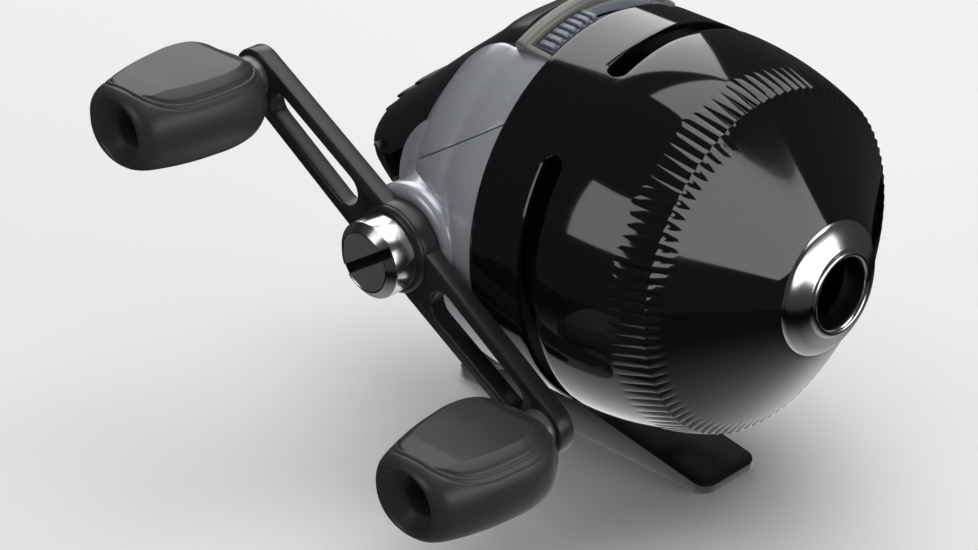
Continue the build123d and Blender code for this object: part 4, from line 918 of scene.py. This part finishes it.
def make_knob(name):
    low, high = KNOB_BOXES[name]
    centre_y, centre_z = (low[1] + high[1]) / 2, (low[2] + high[2]) / 2
    length = high[0] - low[0]
    around = 280
    shares = [0.5 - 0.5 * cos(pi * k / 130) for k in range(131)]
    rows = []
    for share in shares:
        half_y, half_z = knob_size(share)
        row = []
        for k in range(around):
            angle = 2 * pi * k / around
            y = half_y * abs(cos(angle)) ** 0.88 * (1 if cos(angle) >= 0 else -1)
            z = half_z * sin(angle)
            if z > 0:
                z = half_z * max(0.0, 1 - abs(y / half_y) ** 2.4) ** (1 / 2.4)
                along = (share - 0.535) / 0.425
                edge = (abs(along) ** 4.0 + abs(y / (0.84 * half_y)) ** 4.0) ** 0.25
                flat = min(7.9, half_z - 0.9) - 0.35 * max(0.0, 1 - edge ** 2)
                sink = 1 / (1 + exp(min(40.0, (edge - 1.0) / 0.012)))
                z = z * (1 - sink) + min(z, flat) * sink
                groove = exp(-((edge - 1.005) / 0.022) ** 2) + 0.7 * exp(-((edge - 1.085) / 0.02) ** 2)
                z -= 0.36 * groove
            row.append((low[0] + share * length, centre_y + y, centre_z + z))
        rows.append(row)
    mouth = []
    mouth_steps = ((6.55, 0.0), (6.2, 0.12), (5.9, 0.5), (4.3, 2.6),
                   (3.9, 2.9), (3.65, 3.4), (3.6, 8.8), (0.6, 9.0))
    for radius, depth in mouth_steps:
        ring = []
        for k in range(around):
            angle = 2 * pi * k / around
            ring.append((low[0] + depth, centre_y + radius * cos(angle), centre_z + radius * sin(angle)))
        mouth.append(ring)
    knob = grid_piece(name + "_grip", list(reversed(mouth)) + rows, closed_columns=True)
    cap_open_rings(knob)
    tidy_mesh(knob, 0.001)
    return finish_piece(knob, name, "knob_black", MAT["knob"], name, angle=50)


# ------------------------------------------------------------------ foot
def make_foot():
    half_length = FOOT_HIGH[1]
    half_width = FOOT_HIGH[0]
    corner = 3.0
    outline = (arc((half_length - corner, half_width - corner), corner, 0, 90, 8)
               + arc((-half_length + corner, half_width - corner), corner, 90, 180, 8)
               + arc((-half_length + corner, -half_width + corner), corner, 180, 270, 8)
               + arc((half_length - corner, -half_width + corner), corner, 270, 360, 8))
    height = FOOT_HIGH[2]
    where = Matrix.Translation((0, 0, height / 2 * MM)) @ Matrix.Rotation(pi / 2, 4, "Z")
    foot = plate("rod_foot", [outline], height, 0.05, where, 1)
    for tip, seat in ((-half_length, -3.0), (half_length, 18.0)):
        run = seat - tip
        slope = Vector((0, -(height - 1.5) / abs(run) * (1 if run > 0 else -1), 1)).normalized()
        slice_at(foot, (0, tip, 1.5), slope, clear=True, fill=True)
    tidy_mesh(foot, 0.002)
    soften(foot, 0.5, 3, 25)
    return finish_piece(foot, "housing", "foot_black", MAT["foot"], "reel_foot", angle=40)


make_front_cover()
make_nose_ring()
make_lower_housing()
make_boss()
make_stem()
make_rear_cover()
make_drag_hood()
make_drag_wheel()
make_thumb_button()
make_arm()
make_nut()
make_knob("knob_upper")
make_knob("knob_lower")
make_foot()


# ------------------------------------------------------------------ floor, light and camera
def add_floor():
    start_clean()
    bpy.ops.mesh.primitive_plane_add(size=6, location=(0, 0, CAD_BOX[0][2] - 0.0002))
    floor = bpy.context.object
    floor.name = "floor"
    paper = bpy.data.materials.new("floor_paper")
    paper.use_nodes = True
    shader = paper.node_tree.nodes["Principled BSDF"]
    shader.inputs["Base Color"].default_value = (0.9, 0.9, 0.9, 1)
    shader.inputs["Roughness"].default_value = 0.9
    floor.data.materials.append(paper)
    floor.visible_glossy = False


def add_light(name, place, target, size, radiance):
    """A soft panel light; radiance is its brightness as seen in a mirror."""
    data = bpy.data.lights.new(name, "AREA")
    data.shape = "RECTANGLE"
    data.size, data.size_y = size
    data.energy = radiance * size[0] * size[1] * pi
    lamp = bpy.data.objects.new(name, data)
    bpy.context.collection.objects.link(lamp)
    lamp.location = place
    lamp.rotation_euler = (Vector(target) - Vector(place)).to_track_quat("-Z", "Y").to_euler()


def add_fill(name, place, target, size, radiance):
    """A soft panel that lights matt surfaces but isn't mirrored."""
    add_light(name, place, target, size, radiance)
    bpy.data.objects[name].visible_glossy = False


def add_glow():
    """A card just under the floor, bright in the middle, that only mirrors see."""
    start_clean()
    bpy.ops.mesh.primitive_plane_add(size=0.3, location=(0, -0.01, CAD_BOX[0][2] - 0.001))
    card = bpy.context.object
    card.name = "floor_glow"
    light = bpy.data.materials.new("floor_glow_light")
    light.use_nodes = True
    nodes, links = light.node_tree.nodes, light.node_tree.links
    nodes.remove(nodes["Principled BSDF"])
    place = nodes.new("ShaderNodeTexCoord")
    mapping = nodes.new("ShaderNodeMapping")
    mapping.inputs["Scale"].default_value = (9, 9, 9)
    ball = nodes.new("ShaderNodeTexGradient")
    ball.gradient_type = "QUADRATIC_SPHERE"
    glow = nodes.new("ShaderNodeEmission")
    strength = nodes.new("ShaderNodeMath")
    strength.operation = "MULTIPLY"
    strength.inputs[1].default_value = 1.3
    links.new(place.outputs["Object"], mapping.inputs["Vector"])
    links.new(mapping.outputs["Vector"], ball.inputs["Vector"])
    links.new(ball.outputs["Fac"], strength.inputs[0])
    links.new(strength.outputs["Value"], glow.inputs["Strength"])
    links.new(glow.outputs["Emission"], nodes["Material Output"].inputs["Surface"])
    card.data.materials.append(light)
    card.visible_camera = False
    card.visible_diffuse = False
    card.visible_shadow = False


def add_camera():
    data = bpy.data.cameras.new("camera")
    data.sensor_width = 36
    data.lens = 2814.36 / 978 * 36
    camera = bpy.data.objects.new("camera", data)
    bpy.context.collection.objects.link(camera)
    right = Vector((0.7146, -0.6989, -0.0294))
    up = Vector((0.3532, 0.3242, 0.8776))
    back = Vector((-0.6038, -0.6375, 0.4785))
    turn = Matrix((right, up, back)).transposed().to_4x4()
    camera.matrix_world = Matrix.Translation((-0.3419, -0.3298, 0.2915)) @ turn
    bpy.context.scene.camera = camera


def add_world():
    world = bpy.data.worlds.new("studio")
    bpy.context.scene.world = world
    world.use_nodes = True
    world.node_tree.nodes["Background"].inputs["Color"].default_value = (0.9, 0.92, 1, 1)
    world.node_tree.nodes["Background"].inputs["Strength"].default_value = 0.04


MIDDLE = (0, -0.01, 0.05)
add_floor()
add_world()
add_camera()
add_light("overhead", (0.30, -0.10, 1.00), MIDDLE, (0.9, 0.8), 1.7)
add_light("rear_right", (0.50, 0.72, 0.68), MIDDLE, (0.75, 0.8), 1.9)
add_light("front", (0.16, -1.05, 0.30), MIDDLE, (1.3, 0.54), 1.9)
add_light("left", (-1.05, 0.25, 0.50), MIDDLE, (0.45, 0.6), 1.6)
add_fill("sky", (0, 0, 1.6), MIDDLE, (2.4, 2.4), 0.9)
add_glow()

bpy.context.scene.view_settings.view_transform = "Standard"
